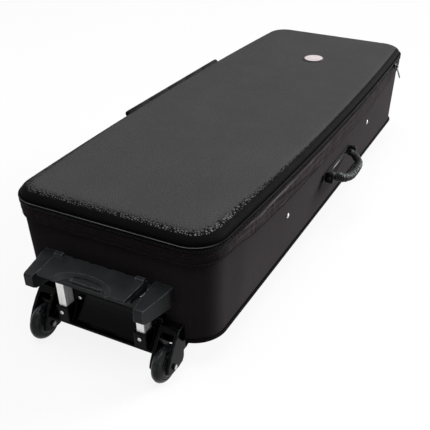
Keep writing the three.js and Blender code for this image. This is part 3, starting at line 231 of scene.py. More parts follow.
def wall_ring(columns, height, inset):
    """Points of the wall's outer face at a height, moved inwards by an inset; both may differ by column."""
    height = np.broadcast_to(np.asarray(height, float), (len(columns),))
    inset = np.broadcast_to(np.asarray(inset, float), (len(columns),))
    share = np.clip(height / SEAM, 0, 1)
    half_x = HALF_WIDTH - WALL_TAPER * (1 - share) - inset
    half_y = HALF_LENGTH - inset
    radius = FOOT_CORNER + (CORNER - FOOT_CORNER) * share - inset
    x = columns[:, 0] * (half_x - radius) + columns[:, 2] * radius
    y = columns[:, 1] * (half_y - radius) + columns[:, 3] * radius
    x = x * (1 + SIDE_BOW * share / half_x * (1 - (y / half_y) ** 2))
    return np.stack([x, y, height], axis=1)


def wall_x(height, y):
    """How far the tray's outer face stands from the middle on either long side."""
    share = min(height / SEAM, 1)
    return HALF_WIDTH - WALL_TAPER * (1 - share) + SIDE_BOW * share * (1 - (y / HALF_LENGTH) ** 2)


def shrunk(ring, share):
    """A level ring drawn in towards the middle."""
    return ring * (share, share, 1)


def way_along(ring, is_loop=True):
    """Distance along a ring up to each point; for a loop, the whole way round comes last."""
    following = np.vstack([ring[1:], ring[:1]]) if is_loop else ring[1:]
    start = ring if is_loop else ring[:-1]
    return np.concatenate([[0], np.cumsum(np.linalg.norm(following - start, axis=1))])


def open_run(columns, is_gap):
    """The columns outside a gap, starting straight behind it."""
    count = len(columns)
    start = next(place for place in range(count) if is_gap[place] and not is_gap[(place + 1) % count]) + 1
    order = [(start + place) % count for place in range(count)]
    return columns[[place for place in order if not is_gap[place]]]


def without_hinge(columns):
    """The columns from one end of the hinge round to the other."""
    ring = wall_ring(columns, SEAM, 0)
    return open_run(columns, (ring[:, 0] < 0) & (ring[:, 1] > HINGE_START) & (ring[:, 1] < HINGE_END))


def ripple(way, length, seed):
    """A smooth wandering value from -1 to 1 along a way, with waves of about that length."""
    total = way[-1]
    count = max(4, int(total / length))
    knots = np.random.default_rng(seed).uniform(-1, 1, count)
    place = way / total * count
    low = np.floor(place).astype(int)
    part = place - low
    ease = part * part * (3 - 2 * part)
    return knots[low % count] * (1 - ease) + knots[(low + 1) % count] * ease


# ---------------------------------------------------------------- meshes

def placed(name, data):
    """An object for a mesh, a lamp or a camera, at the origin."""
    piece = bpy.data.objects.new(name, data)
    bpy.context.scene.collection.objects.link(piece)
    return piece


def shaded(piece, is_smooth=True):
    """A piece whose faces all shade smooth, or all flat."""
    piece.data.polygons.foreach_set("use_smooth", [is_smooth] * len(piece.data.polygons))
    return piece


def new_piece(name, points, faces, places=None, is_smooth=True):
    """A mesh object at the origin; places are the UV places of the face corners, in metres."""
    mesh = bpy.data.meshes.new(name)
    mesh.from_pydata([tuple(point) for point in points], [], faces)
    if places is not None:
        layer = mesh.uv_layers.new(name="cloth")
        layer.data.foreach_set("uv", np.asarray(places, float).ravel())
    piece = shaded(placed(name, mesh), is_smooth)
    mesh.update()
    return piece


def ring_faces(count, low, high):
    """Faces between two closed rings of points, given where each ring starts."""
    following = [(place + 1) % count for place in range(count)]
    return [(low + place, low + after, high + after, high + place) for place, after in enumerate(following)]


def lofted(name, rows, is_loop=True, is_tube=False, start_cap=None, end_cap=None):
    """A skin through rows of points.

    A loop closes each row round the case, a tube closes from the last row to the first, and a cap closes
    its row to a middle point.
    """
    rows = [np.asarray(row) for row in rows]
    count = len(rows[0])
    along = way_along(rows[0], is_loop)
    steps = [0.0]
    for low, high in zip(rows, rows[1:] + rows[:1]):
        steps.append(steps[-1] + float(np.mean(np.linalg.norm(high - low, axis=1))))
    points = [point for row in rows for point in row]
    faces, places = [], []
    for row in range(len(rows) if is_tube else len(rows) - 1):
        pairs = ring_faces(count, row * count, ((row + 1) % len(rows)) * count)
        for column, face in enumerate(pairs if is_loop else pairs[:-1]):
            faces.append(face)
            left_way, right_way = along[column], along[column + 1]
            places += [(left_way, steps[row]), (right_way, steps[row]),
                       (right_way, steps[row + 1]), (left_way, steps[row + 1])]
    for cap, row in ((start_cap, 0), (end_cap, len(rows) - 1)):
        if cap is None:
            continue
        points.append(cap)
        for column in range(count):
            low, high = row * count + column, row * count + (column + 1) % count
            faces.append((low, high, len(points) - 1) if row else (high, low, len(points) - 1))
            places += [tuple(points[corner][:2]) for corner in faces[-1]]
    if is_tube and not is_loop:
        for column, order in ((0, 1), (count - 1, -1)):
            face = [row * count + column for row in range(len(rows))][::order]
            faces.append(tuple(face))
            places += [tuple(points[corner][1:]) for corner in face]
    return new_piece(name, points, faces, places)


def belt(name, columns, section):
    """A closed band along the wall; section lists heights and how far each line stands out."""
    rows = [wall_ring(columns, height, -np.asarray(out)) for height, out in section]
    return lofted(name, rows, is_loop=False, is_tube=True)


def cord_section(height, radius, out, sides=12):
    """Section of a round cord at a height whose inner side stands out by that much."""
    turns = [2 * math.pi * side / sides for side in range(sides)]
    return [(height - radius * math.cos(turn), out + radius + radius * math.sin(turn)) for turn in turns]


def turned(name, profile, centre, axis, sides):
    """A closed turned form from points of radius and place along its axis; the profile is a loop."""
    points, faces = [], []
    count = len(profile)
    for side in range(sides):
        angle = 2 * math.pi * side / sides
        for radius, place in profile:
            across, up = radius * math.cos(angle), radius * math.sin(angle)
            spot = (place, across, up) if axis == "x" else (up, place, across)
            points.append(tuple(centre[number] + spot[number] for number in range(3)))
        faces += ring_faces(count, side * count, ((side + 1) % sides) * count)
    piece = new_piece(name, points, faces)
    clean(piece)
    return piece


def clean(piece, distance=1e-6):
    """Merges doubled points and turns the faces outwards."""
    work = bmesh.new()
    work.from_mesh(piece.data)
    bmesh.ops.remove_doubles(work, verts=work.verts, dist=distance)
    bmesh.ops.dissolve_degenerate(work, edges=work.edges, dist=distance / 10)
    bmesh.ops.recalc_face_normals(work, faces=work.faces)
    work.to_mesh(piece.data)
    work.free()


def copy_of(node, name):
    """A merged copy of a CAD node's mesh."""
    mesh = frame["nodes"][node].data.copy()
    mesh.name = name
    mesh.materials.clear()
    work = bmesh.new()
    work.from_mesh(mesh)
    bmesh.ops.remove_doubles(work, verts=work.verts, dist=2e-6)
    bmesh.ops.dissolve_limit(work, angle_limit=math.radians(0.6), verts=work.verts, edges=work.edges)
    work.to_mesh(mesh)
    work.free()
    return placed(name, mesh)


def alter(piece, name, kind, **settings):
    """A modifier with its settings."""
    change = piece.modifiers.new(name, kind)
    for setting, value in settings.items():
        setattr(change, setting, value)
    return change


def settled(piece):
    """Applies the modifiers of a piece."""
    graph = bpy.context.evaluated_depsgraph_get()
    mesh = bpy.data.meshes.new_from_object(piece.evaluated_get(graph), depsgraph=graph)
    piece.modifiers.clear()
    old = piece.data
    mesh.name = old.name + "_done"
    piece.data = mesh
    bpy.data.meshes.remove(old)
    return piece


def numbers_of(piece, kind="co"):
    """The places or the normals of a piece's points."""
    numbers = np.zeros(len(piece.data.vertices) * 3)
    piece.data.vertices.foreach_get(kind, numbers)
    return numbers.reshape(-1, 3)


def move_points(piece, points):
    """Puts the points of a piece in new places."""
    piece.data.vertices.foreach_set("co", points.ravel())
    piece.data.update()


def stand_for(piece, node, finish=None):
    """A piece takes a CAD node's place and body, with a finish or else the one of the node's slot."""
    piece.data.materials.clear()
    piece.data.materials.append(finishes[finish or node_slots[node]])
    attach(piece, frame["nodes"][node]["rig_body"])
    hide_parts(node)
    return piece


def softened(node, width, finish=None):
    """A CAD form with its edges rounded over."""
    piece = shaded(copy_of(node, node + "_form"))
    alter(piece, "rounded edges", "BEVEL", limit_method="ANGLE", angle_limit=math.radians(32), width=width,
          segments=3, harden_normals=True, use_clamp_overlap=True)
    return stand_for(settled(piece), node, finish)


def recast(piece, grain, keep):
    """A piece made over as one smooth moulding with soft edges, keeping a share of its faces."""
    alter(piece, "recast", "REMESH", mode="VOXEL", voxel_size=grain, use_smooth_shade=True)
    alter(piece, "ease", "SMOOTH", factor=0.5, iterations=2)
    alter(piece, "thin", "DECIMATE", ratio=keep)
    return shaded(settled(piece))


# ---------------------------------------------------------------- shader parts

def feed(socket, value):
    """A socket takes a number, a vector, a written colour or another socket."""
    if isinstance(value, bpy.types.NodeSocket):
        socket.id_data.links.new(value, socket)
    elif isinstance(value, int) and socket.type == "RGBA":
        socket.default_value = linear(value)
    else:
        socket.default_value = value


def add_node(tree, kind, values=None, **settings):
    """A node with its settings and with values for its inputs, by name or by place."""
    node = tree.nodes.new(kind)
    for name, value in settings.items():
        setattr(node, name, value)
    for name, value in (values or {}).items():
        feed(node.inputs[name], value)
    return node


def node_of(tree, kind):
    """The first node of that kind in a tree."""
    return next(node for node in tree.nodes if node.type == kind)


def figure(operation, first, second=0.0, is_clamped=False):
    """What an operation makes of one or two numbers or sockets."""
    tree = (first if isinstance(first, bpy.types.NodeSocket) else second).id_data
    values = {0: first, 1: second}
    return add_node(tree, "ShaderNodeMath", values, operation=operation, use_clamp=is_clamped).outputs[0]


def times(first, *others):
    """The product of numbers and sockets."""
    for other in others:
        first = figure("MULTIPLY", first, other)
    return first


def plus(first, second):
    """The sum of two numbers or sockets."""
    return figure("ADD", first, second)


def minus(first, second):
    """The first number or socket less the second."""
    return figure("SUBTRACT", first, second)


def spread(value, low, high, to_low=0.0, to_high=1.0):
    """A value eased from one range to another and held inside it."""
    values = {"Value": value, "From Min": low, "From Max": high, "To Min": to_low, "To Max": to_high}
    node = add_node(value.id_data, "ShaderNodeMapRange", values, interpolation_type="SMOOTHSTEP")
    return node.outputs["Result"]


def falling(value, low, high, to_low=0.0):
    """1 up to the low end of a range and easing down to a lower value at its high end."""
    return spread(value, low, high, 1.0, to_low)


def between(noise, low=0.0, high=1.0):
    """A noise made to run between two values."""
    return spread(noise, 0.3, 0.7, low, high)


def band(value, middle, half, strength):
    """A mask along a line where a value passes a middle, with a strength that may change over the surface."""
    rise = spread(value, middle - half, middle - half / 2)
    return times(rise, falling(value, middle + half / 2, middle + half), strength)


def cloud(place, scale, detail=3.0, roughness=0.55):
    """Noise at a place."""
    values = {"Vector": place, "Scale": scale, "Detail": detail, "Roughness": roughness}
    return add_node(place.id_data, "ShaderNodeTexNoise", values).outputs["Fac"]


def parts(vector):
    """The X, Y and Z of a vector."""
    return add_node(vector.id_data, "ShaderNodeSeparateXYZ", {0: vector}).outputs


def facing(place):
    """The X, Y and Z of the surface's normal, in the tree of a place."""
    return parts(add_node(place.id_data, "ShaderNodeNewGeometry").outputs["Normal"])


def vector_figure(operation, first, second):
    """What an operation makes of two vectors."""
    values = {0: first, 1: second}
    return add_node(first.id_data, "ShaderNodeVectorMath", values, operation=operation).outputs[0]


def distance_from(place, middle, shares):
    """How far a place lies from a middle, with a share for each axis."""
    reach = vector_figure("MULTIPLY", vector_figure("SUBTRACT", place, middle), shares)
    return add_node(place.id_data, "ShaderNodeVectorMath", {0: reach}, operation="LENGTH").outputs["Value"]


def blended(mask, first, second):
    """One colour turning into another by a mask; colours are written ones or sockets."""
    values = {"Factor": mask, 6: first, 7: second}
    return add_node(mask.id_data, "ShaderNodeMix", values, data_type="RGBA").outputs[2]


def linear(hexed):
    """A written colour as linear light."""
    shares = [((hexed >> shift) & 255) / 255 for shift in (16, 8, 0)]
    light = [share / 12.92 if share <= 0.04045 else ((share + 0.055) / 1.055) ** 2.4 for share in shares]
    return (*light, 1.0)


# ---------------------------------------------------------------- shader effects that several finishes share

def effect(name, amount, value, results):
    """An empty shader effect that takes a place and one amount; also both, and where its results go."""
    group = bpy.data.node_groups.new(name, "ShaderNodeTree")
    group.interface.new_socket(name="Place", in_out="INPUT", socket_type="NodeSocketVector")
    socket = group.interface.new_socket(name=amount, in_out="INPUT", socket_type="NodeSocketFloat")
    socket.default_value = value
    for result in results:
        group.interface.new_socket(name=result, in_out="OUTPUT", socket_type="NodeSocketFloat")
    start, end = group.nodes.new("NodeGroupInput"), group.nodes.new("NodeGroupOutput")
    return group, start.outputs["Place"], start.outputs[amount], end.inputs


def woven_threads():
    """Plain weave on a place in metres: over and under threads, with uneven yarn."""
    group, place, thread, results = effect("woven threads", "Thread", 0.0011, ["Height", "Yarn"])
    x, y, _ = parts(place)
    waves = [figure("SINE", times(figure("DIVIDE", axis, thread), math.pi)) for axis in (x, y)]
    uneven = cloud(place, 900.0, 2.0)
    feed(results["Height"], plus(plus(times(*waves, 0.5), 0.5), times(uneven, 0.35)))
    feed(results["Yarn"], uneven)
    return group


def pebbled_cells():
    """Raised pebbles of two sizes with sunk lines between them, and slow mottling."""
    names = ["Height", "Valley", "Mottle"]
    group, place, cells, results = effect("pebbled cells", "Cells per metre", 260.0, names)
    edge, small = [add_node(group, "ShaderNodeTexVoronoi", {"Vector": place, "Scale": scale},
                            feature=feature).outputs["Distance"]
                   for scale, feature in ((cells, "DISTANCE_TO_EDGE"), (times(cells, 2.3), "SMOOTH_F1"))]
    feed(results["Height"], plus(spread(edge, 0.0, 0.28), times(small, -0.35)))
    feed(results["Valley"], falling(edge, 0.0, 0.1))
    feed(results["Mottle"], cloud(place, 9.0, 4.0))
    return group


def moulding_grain():
    """Fine grain of moulded plastic, with slow changes of sheen."""
    group, place, grains, results = effect("moulding grain", "Grains per metre", 1400.0, ["Height", "Sheen"])
    feed(results["Height"], cloud(place, grains, 2.0))
    feed(results["Sheen"], cloud(place, 22.0, 5.0))
    return group


def drawn_lines():
    """Lines drawn along the upright axis, as on brushed tube."""
    group, place, lines, results = effect("drawn lines", "Lines per metre", 2500.0, ["Height", "Streak"])
    drawn_out = vector_figure("MULTIPLY", place, (1.0, 1.0, 0.02))
    feed(results["Height"], cloud(drawn_out, lines, 2.0))
    feed(results["Streak"], cloud(drawn_out, 300.0, 3.0))
    return group


def settled_dust():
    """A thin film of dust, patchy and only where the surface looks up."""
    group, place, amount, results = effect("settled dust", "Amount", 0.2, ["Film"])
    _, _, up = facing(place)
    patches = spread(cloud(place, 35.0, 6.0, 0.7), 0.45, 0.8)
    feed(results["Film"], times(spread(up, 0.2, 1.0), patches, amount))
    return group


def painted_edge_highlights():
    """Painted highlight on the raised edges of a moulding, in patches, where the surface is most pointed."""
    group, place, amount, results = effect("painted edge highlights", "Amount", 0.5, ["Rub"])
    edge = spread(add_node(group, "ShaderNodeNewGeometry").outputs["Pointiness"], 0.504, 0.535)
    feed(results["Rub"], times(edge, between(cloud(place, 120.0, 5.0, 0.65)), amount))
    return group


def use(effect_name, place, amount):
    """The results of a shared effect at a place, with its one amount."""
    values = {"Place": place, 1: amount}
    return add_node(place.id_data, "ShaderNodeGroup", values, node_tree=effects[effect_name]).outputs


# ---------------------------------------------------------------- finishes

def new_finish(name, roughness, specular=0.5, metallic=0.0):
    """A material with a plain shader, and the place on the object."""
    material = bpy.data.materials.new(name)
    material.use_nodes = True
    shader = node_of(material.node_tree, "BSDF_PRINCIPLED")
    feed(shader.inputs["Roughness"], roughness)
    feed(shader.inputs["Specular IOR Level"], specular)
    feed(shader.inputs["Metallic"], metallic)
    return material, add_node(material.node_tree, "ShaderNodeTexCoord").outputs["Object"]


def surface(material, colour, roughness, height, depth):
    """The material shows a colour, a roughness and a relief of that depth in metres."""
    relief = {"Height": height, "Distance": depth, "Strength": 1.0}
    bump = add_node(material.node_tree, "ShaderNodeBump", relief)
    shader = node_of(material.node_tree, "BSDF_PRINCIPLED")
    feed(shader.inputs["Base Color"], colour)
    feed(shader.inputs["Roughness"], roughness)
    feed(shader.inputs["Normal"], bump.outputs["Normal"])
    return material


def cloth_finish(name, dark, light, thread, depth, roughness, specular, dust=0.05, is_flat=True):
    """Woven cloth with uneven yarn, faded patches, painted shade darkening the near end, and a little dust.
    """
    material, place = new_finish(name, roughness, specular)
    weave = use("weave", place.node.outputs["UV"] if is_flat else place, thread)
    _, y, _ = parts(place)
    tone = blended(between(cloud(place, 7.0, 4.0)), dark, light)
    # Painted shade: the cloth is darkened towards the near end.
    tone = blended(spread(y, -0.44, -0.4, NEAR_END_PAINTED_SHADE, 0.0), tone, 0x1a1718)
    threads = blended(spread(weave["Height"], 0.2, 0.9), dark, tone)
    dusty = blended(use("dust", place, dust)["Film"], threads, LINT)
    return surface(material, dusty, between(weave["Yarn"], roughness - 0.08, roughness + 0.06),
                   weave["Height"], depth)


def plastic_finish(name, dark, light, roughness, grain, depth, specular=0.1, painted_highlight=0.3, dust=0.02):
    """Moulded plastic: grain, uneven sheen, painted highlights on raised edges and a little dust."""
    material, place = new_finish(name, roughness, specular)
    skin = use("grain", place, grain)
    film = use("dust", place, dust)["Film"]
    tone = blended(between(skin["Sheen"]), dark, light)
    # Painted highlight: raised edges are paler.
    tone = blended(use("painted_highlight", place, painted_highlight)["Rub"], tone, PAINTED_EDGE_HIGHLIGHT)
    sheen = between(skin["Sheen"], roughness - 0.05, roughness + 0.07)
    return surface(material, blended(film, tone, DUST), figure("ADD", sheen, times(film, 0.5), True),
                   skin["Height"], depth)


def lid_finish():
    """Pebbled grey skin of the lid; its rounded rim is dark, and pebbles where the two meet carry painted
    glints, mostly at the near end towards the handle side.
    """
    material, place = new_finish("pebbled lid skin", 0.66, 0.01)
    skin, coarse = use("pebble", place, 260.0), use("pebble", place, 225.0)["Height"]
    x, y, z = parts(place)
    tone = blended(between(skin["Mottle"]), 0x4a4a4b, 0x4e4e4f)
    tone = blended(skin["Valley"], tone, 0x464647)
    ragged = times(coarse, spread(y, -0.4, 0.0, 0.0028, 0.0005))
    edge = minus(plus(z, ragged), spread(y, -0.5, -0.1, *RIM_DARK_TO))
    tone = blended(falling(edge, -0.0004, 0.0004), tone, 0x141415)
    # Painted highlight: pale glints on the pebbles where the top meets the dark rim.
    meeting = times(spread(edge, -0.0008, 0.0006), falling(edge, 0.0014, 0.0024))
    near_end = times(falling(y, -0.5, -0.32), spread(x, 0.02, 0.16, 0.3, 1.0))
    tone = blended(times(meeting, near_end, spread(coarse, 0.5, 0.75)), tone, 0x7c7c7c)
    dusty = blended(use("dust", place, 0.02)["Film"], tone, DUST)
    return surface(material, dusty, spread(skin["Valley"], 0.0, 1.0, 0.6, 0.75), skin["Height"], 0.00018)


def metal_finish(name, dark, light, roughness, lines, depth, metallic=1.0):
    """Metal with drawn lines and uneven polish."""
    material, place = new_finish(name, roughness, metallic=metallic)
    brushed = use("lines", place, lines)
    return surface(material, blended(between(brushed["Streak"]), dark, light),
                   between(brushed["Streak"], roughness - 0.05, roughness + 0.08), brushed["Height"], depth)


def zip_cloth_finish():
    """Brown-black zip tape: ribs along its length, pale streaks and a lit fold as painted highlights, and
    painted shade in its creases, along its hem, on a slanting fold and towards the ends.
    """
    material, place = new_finish("zip tape cloth", 0.82, 0.06)
    cloth = place.node.outputs["UV"]
    _, y, z = parts(place)
    _, up, _ = parts(cloth)
    ribs = figure("SINE", times(up, 2 * math.pi / 0.0036))
    height = plus(times(ribs, 0.8), times(use("weave", cloth, 0.0008)["Height"], 0.4))
    wear_and_highlight = cloud(vector_figure("MULTIPLY", cloth, (9.0, 260.0, 1.0)), 1.0, 4.0)
    fold = cloud(vector_figure("MULTIPLY", cloth, (17.0, 90.0, 1.0)), 1.0, 3.0)
    drift = minus(fold, 0.5)
    wander = plus(up, times(drift, 0.011))
    tone = blended(spread(wear_and_highlight, 0.5, 0.75), 0x352d2f, 0x4a4344)
    # Painted highlights: pale streaks along the tape.
    for middle, half, strength in ((0.0082, 0.0013, 0.9), (0.0172, 0.0012, 0.7), (0.0275, 0.0017, 0.9)):
        streak = band(wander, middle, half, spread(wear_and_highlight, 0.38, 0.6, 0.0, strength))
        tone = blended(streak, tone, 0x6c6465)
    # Painted shade: dark creases.
    for middle, half in ((0.0115, 0.001), (0.022, 0.0012), (0.031, 0.0011)):
        painted_crease_shade = band(wander, middle, half, spread(fold, 0.3, 0.6, 0.9, 0.2))
        tone = blended(painted_crease_shade, tone, 0x171314)
    # Painted shadow: dark along the hem, strongest towards the near end.
    hem = times(falling(wander, 0.0072, 0.0104), falling(y, -0.3, 0.05, 0.35))
    tone = blended(times(hem, spread(wear_and_highlight, 0.3, 0.6, 0.95, 0.7)), tone, 0x120f10)
    level = plus(z, times(drift, 0.006))
    # Painted shadow: a dark slanting line along a fold.
    painted_fold_shadow = times(spread(y, -0.42, -0.36), falling(y, -0.16, -0.08))
    tone = blended(band(plus(level, times(y, 0.13)), 0.1251, 0.0048, painted_fold_shadow), tone, 0x161213)
    # Painted highlight: a pale line along a fold.
    painted_fold_highlight = times(spread(y, -0.42, -0.34), falling(y, -0.3, -0.2))
    tone = blended(band(level, 0.1712, 0.0034, painted_fold_highlight), tone, 0x787172)
    # Painted shade: darker at the near end and over the far half.
    shade = plus(spread(y, -0.5, -0.44, 0.75, 0.0), spread(y, -0.2, 0.1, 0.0, 0.45))
    tone = blended(shade, tone, 0x1c1718)
    return surface(material, blended(spread(height, -0.8, 0.2), 0x1c1818, tone), between(wear_and_highlight, 0.74, 0.9),
                   height, 0.0004)


def loop_finish():
    """Rubber of the carry loop: ribs across its grip with painted highlights on their upward-facing crests,
    paler on the near side, dull elsewhere.
    """
    material, place = new_finish("ribbed handle rubber", 0.42, 0.2)
    grain = cloud(place, 1500.0, 2.0)
    x, y, _ = parts(place)
    _, _, up = facing(place)
    reach = figure("ABSOLUTE", minus(y, LOOP_MIDDLE))
    inwards = times(minus(LOOP_OUT, x), spread(reach, *LOOP_ARM))
    wave = figure("SINE", times(plus(reach, inwards), 2 * math.pi / RIB_PITCH))
    ribs = times(spread(wave, -0.6, 0.8), falling(reach, LOOP_HALF_GRIP, LOOP_HALF_GRIP + 0.004))
    patches = spread(cloud(place, 160.0, 4.0), 0.35, 0.6)
    # Painted highlight: rib crests that face up are paler, most on the near side.
    wear_and_highlight = times(ribs, spread(up, 0.45, 0.9), falling(y, 0.0, 0.03, 0.35), patches)
    tone = blended(wear_and_highlight, blended(ribs, 0x101111, 0x202323), 0x7d8585)
    return surface(material, tone, between(grain, 0.36, 0.5), plus(ribs, times(grain, 0.05)), 0.0007)


def piping_finish():
    """Glossy dark cord with a painted highlight along its upward-facing top, strongest where it faces the
    near end.
    """
    material, place = new_finish("glossy piping", 0.45, 0.01)
    skin = use("grain", place, 900.0)
    _, y, z = facing(place)
    # Painted highlight: paler where the cord's normal points partly up and towards the near end.
    painted_crest_highlight = band(z, 0.62, 0.26, spread(skin["Sheen"], 0.3, 0.65, 0.7, 1.0))
    tone = blended(times(painted_crest_highlight, falling(y, -0.75, -0.2, 0.07)), 0x0b0b0c, 0x848485)
    return surface(material, tone, between(skin["Sheen"], 0.41, 0.53), skin["Height"], 0.00004)


def tooth_finish():
    """Black teeth with a painted highlight in a thin line at one height, strongest at the near end."""
    material, place = new_finish("zip tooth plastic", 0.4, 0.06)
    skin = use("grain", place, 1200.0)
    _, y, z = parts(place)
    # Painted highlight: a pale line along the teeth.
    painted_highlight = band(z, 0.1826, 0.0009, falling(y, -0.5, -0.42, 0.3))
    tone = blended(painted_highlight, blended(between(skin["Sheen"]), 0x080808, 0x0e0e0f), 0x474748)
    return surface(material, tone, between(skin["Sheen"], 0.36, 0.5), skin["Height"], 0.00003)


def plate_finish():
    """Dark plate under the carry handle, rubbed bright along a line between the brackets."""
    material, place = new_finish("rubbed dark plate", 0.6, 0.06, 0.1)
    rough = cloud(place, 260.0, 5.0, 0.7)
    _, y, z = parts(place)
    ends = falling(figure("ABSOLUTE", minus(y, RUB_MIDDLE)), 0.008, 0.027)
    wear_and_highlight = band(plus(z, times(minus(rough, 0.5), 0.006)), RUB_LINE, 0.003,
                times(ends, spread(rough, 0.3, 0.55, 0.4, 1.0)))
    tone = blended(wear_and_highlight, blended(between(rough), 0x161618, 0x232325), 0xb4aeb0)
    return surface(material, tone, between(rough, 0.55, 0.7), rough, 0.0001)


def bolt_finish():
    """Plated head of the axle bolts: bright in the middle, dark at its rim, with painted shade on the bolt of
    the left wheel.
    """
    material, place = new_finish("axle bolt plating", 0.3, 0.4, 0.7)
    lines = use("lines", place, 900.0)
    x, _, _ = parts(place)
    tone = blended(between(lines["Streak"]), 0xb4b4b3, 0xcacac8)
    # Painted shade: the bolt on the left wheel is darker.
    tone = blended(spread(x, -0.01, 0.01, 0.8, 0.0), tone, 0x4a4a4b)
    radius = distance_from(place, (0.0, WHEEL_Y, WHEEL_Z), (0.0, 1.0, 1.0))
    tone = blended(spread(radius, 0.0034, 0.0042), tone, 0x232324)
    return surface(material, tone, between(lines["Streak"], 0.26, 0.38), lines["Height"], 0.00001)


def board_finish():
    """Thin brown hardboard."""
    material, place = new_finish("floor hardboard", 0.8, 0.2)
    fibres = cloud(place, 420.0, 6.0, 0.7)
    tone = blended(spread(fibres, 0.35, 0.65), 0x3f352d, 0x57493c)
    return surface(material, tone, between(fibres, 0.72, 0.86), fibres, 0.0002)


def badge_finish():
    """Blank pale enamel, faintly pinkish, with a dark rim and a fine orange-peel."""
    material, place = new_finish("blank badge enamel", 0.35, 0.3)
    stain = cloud(place, 70.0, 5.0)
    tone = blended(spread(stain, 0.35, 0.7), 0xe8dadc, 0xd6c8ca)
    low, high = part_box("lid_badge")
    middle = [(low[axis] + high[axis]) / 2 for axis in range(3)]
    shares = (2 / (high[0] - low[0]), 2 / (high[1] - low[1]), 0.0)
    tone = blended(spread(distance_from(place, middle, shares), 0.87, 0.91), tone, 0x2a2728)
    return surface(material, tone, between(stain, 0.28, 0.42), cloud(place, 500.0, 2.0), 0.0001)


def make_effects():
    """The shared shader effects by a short name."""
    return {"weave": woven_threads(), "pebble": pebbled_cells(), "grain": moulding_grain(),
            "lines": drawn_lines(), "dust": settled_dust(), "painted_highlight": painted_edge_highlights()}


def make_finishes():
    """Finishes by the material slot they belong to, and some by the one thing that wears them."""
    return {
        "case_fabric": cloth_finish("case cover cloth", 0x3d393a, 0x433f40, 0.0013, 0.0002, 0.9, 0.03, 0.02),
        "lid_skin": lid_finish(),
        "trim_rubber": piping_finish(),
        "edge_binding": plastic_finish("matte edge binding", 0x0c0b0b, 0x151313, 0.7, 1400.0, 0.0001,
                                       specular=0.03, painted_highlight=0.0, dust=0.0),
        "zip_cloth": zip_cloth_finish(),
        "zip_teeth": tooth_finish(),
        "black_plastic": plastic_finish("black moulding", 0x242527, 0x2c2e30, 0.4, 1500.0, 0.00005, painted_highlight=1.0),
        "plain_fitting": plastic_finish("plain black fitting", 0x121213, 0x1a1b1c, 0.45, 1500.0, 0.00005,
                                        specular=0.06, painted_highlight=0.0),
        "gloss_plastic": plastic_finish("gloss black moulding", 0x050506, 0x080809, 0.2, 700.0, 0.00002,
                                        specular=0.05, painted_highlight=0.25),
        "rail_metal": metal_finish("anodised tube", 0xeeeeed, 0xf6f6f4, 0.45, 2600.0, 0.00003, 0.8),
        "axle_steel": bolt_finish(),
        "bright_steel": metal_finish("bright plated steel", 0xb4b4b3, 0xd0d0ce, 0.24, 900.0, 0.00001),
        "dark_steel": metal_finish("dark plated steel", 0x1c1c1e, 0x2a2a2c, 0.35, 900.0, 0.00001, 0.7),
        "handle_plate": plate_finish(),
        "handle_rubber": plastic_finish("handle rubber", 0x111111, 0x191919, 0.5, 1800.0, 0.00008),
        "carry_loop": loop_finish(),
        "wheel_rubber": plastic_finish("tyre rubber", 0x0c0c0c, 0x141414, 0.22, 1300.0, 0.00003, 0.14),
        "hub_plastic": plastic_finish("hub moulding", 0x0d0d0e, 0x151516, 0.3, 1400.0, 0.00004, 0.14),
        "padding": cloth_finish("lining cloth", 0x201f21, 0x2a292b, 0.0016, 0.0003, 0.95, 0.06, 0.04, False),
        "strap_web": cloth_finish("strap webbing", 0x1d1d1f, 0x29292b, 0.0022, 0.0006, 0.8, 0.15),
        "floor_wood": board_finish(),
        "badge_paint": badge_finish(),
        "thread": cloth_finish("sewing thread", 0x1a1819, 0x5a5455, 0.0006, 0.0001, 0.7, 0.1, 0.0, False),
    }


# ---------------------------------------------------------------- cloth, lid and trim

def floor_curve(columns, inset):
    """Rings of the tray's rounded lower edge from its floor up, for a skin that lies that far inside."""
    radius = TRAY_FILLET - inset
    turns = [math.radians(90 * step / 6) for step in range(7)]
    return [wall_ring(columns, inset + radius * (1 - math.cos(turn)), inset + radius * (1 - math.sin(turn)))
            for turn in turns]


def tray_cover():
    """Cover of the tray: outer cloth over its board, rolled rim and lining, as one closed tub."""
    columns = wall_columns(CLOTH_STEP)
    way = way_along(wall_ring(columns, SEAM, 0))
    way[-1] = way[-2] + CLOTH_STEP
    rows = [shrunk(wall_ring(columns, 0, TRAY_FILLET), share) for share in (0.15, 0.45, 0.75, 0.93)]
    rows += floor_curve(columns, 0)
    for height in np.linspace(0.02, SEAM - RIM_ROLL, 20):
        calm = math.sin(math.pi * (height - TRAY_FILLET) / (SEAM - TRAY_FILLET))
        sag = CLOTH_SAG * calm * (0.5 + 0.5 * ripple(way, SAG_WAVE, int(height * 30) + 5)[:-1])
        rows.append(wall_ring(columns, height, sag))
    for step in range(1, 6):
        angle = math.radians(180 * step / 6)
        height = SEAM - RIM_ROLL + RIM_ROLL * math.sin(angle)
        rows.append(wall_ring(columns, height, RIM_ROLL * (1 - math.cos(angle))))
    rows += [wall_ring(columns, height, TRAY_WALL) for height in np.linspace(SEAM - RIM_ROLL, 0.02, 8)]
    rows += floor_curve(columns, TRAY_WALL)[::-1]
    rows += [shrunk(wall_ring(columns, TRAY_WALL, TRAY_FILLET), share) for share in (0.85, 0.5, 0.15)]
    stand_for(lofted("tray_cover", rows, start_cap=(0, 0, 0), end_cap=(0, 0, TRAY_WALL)), "tray_shell")


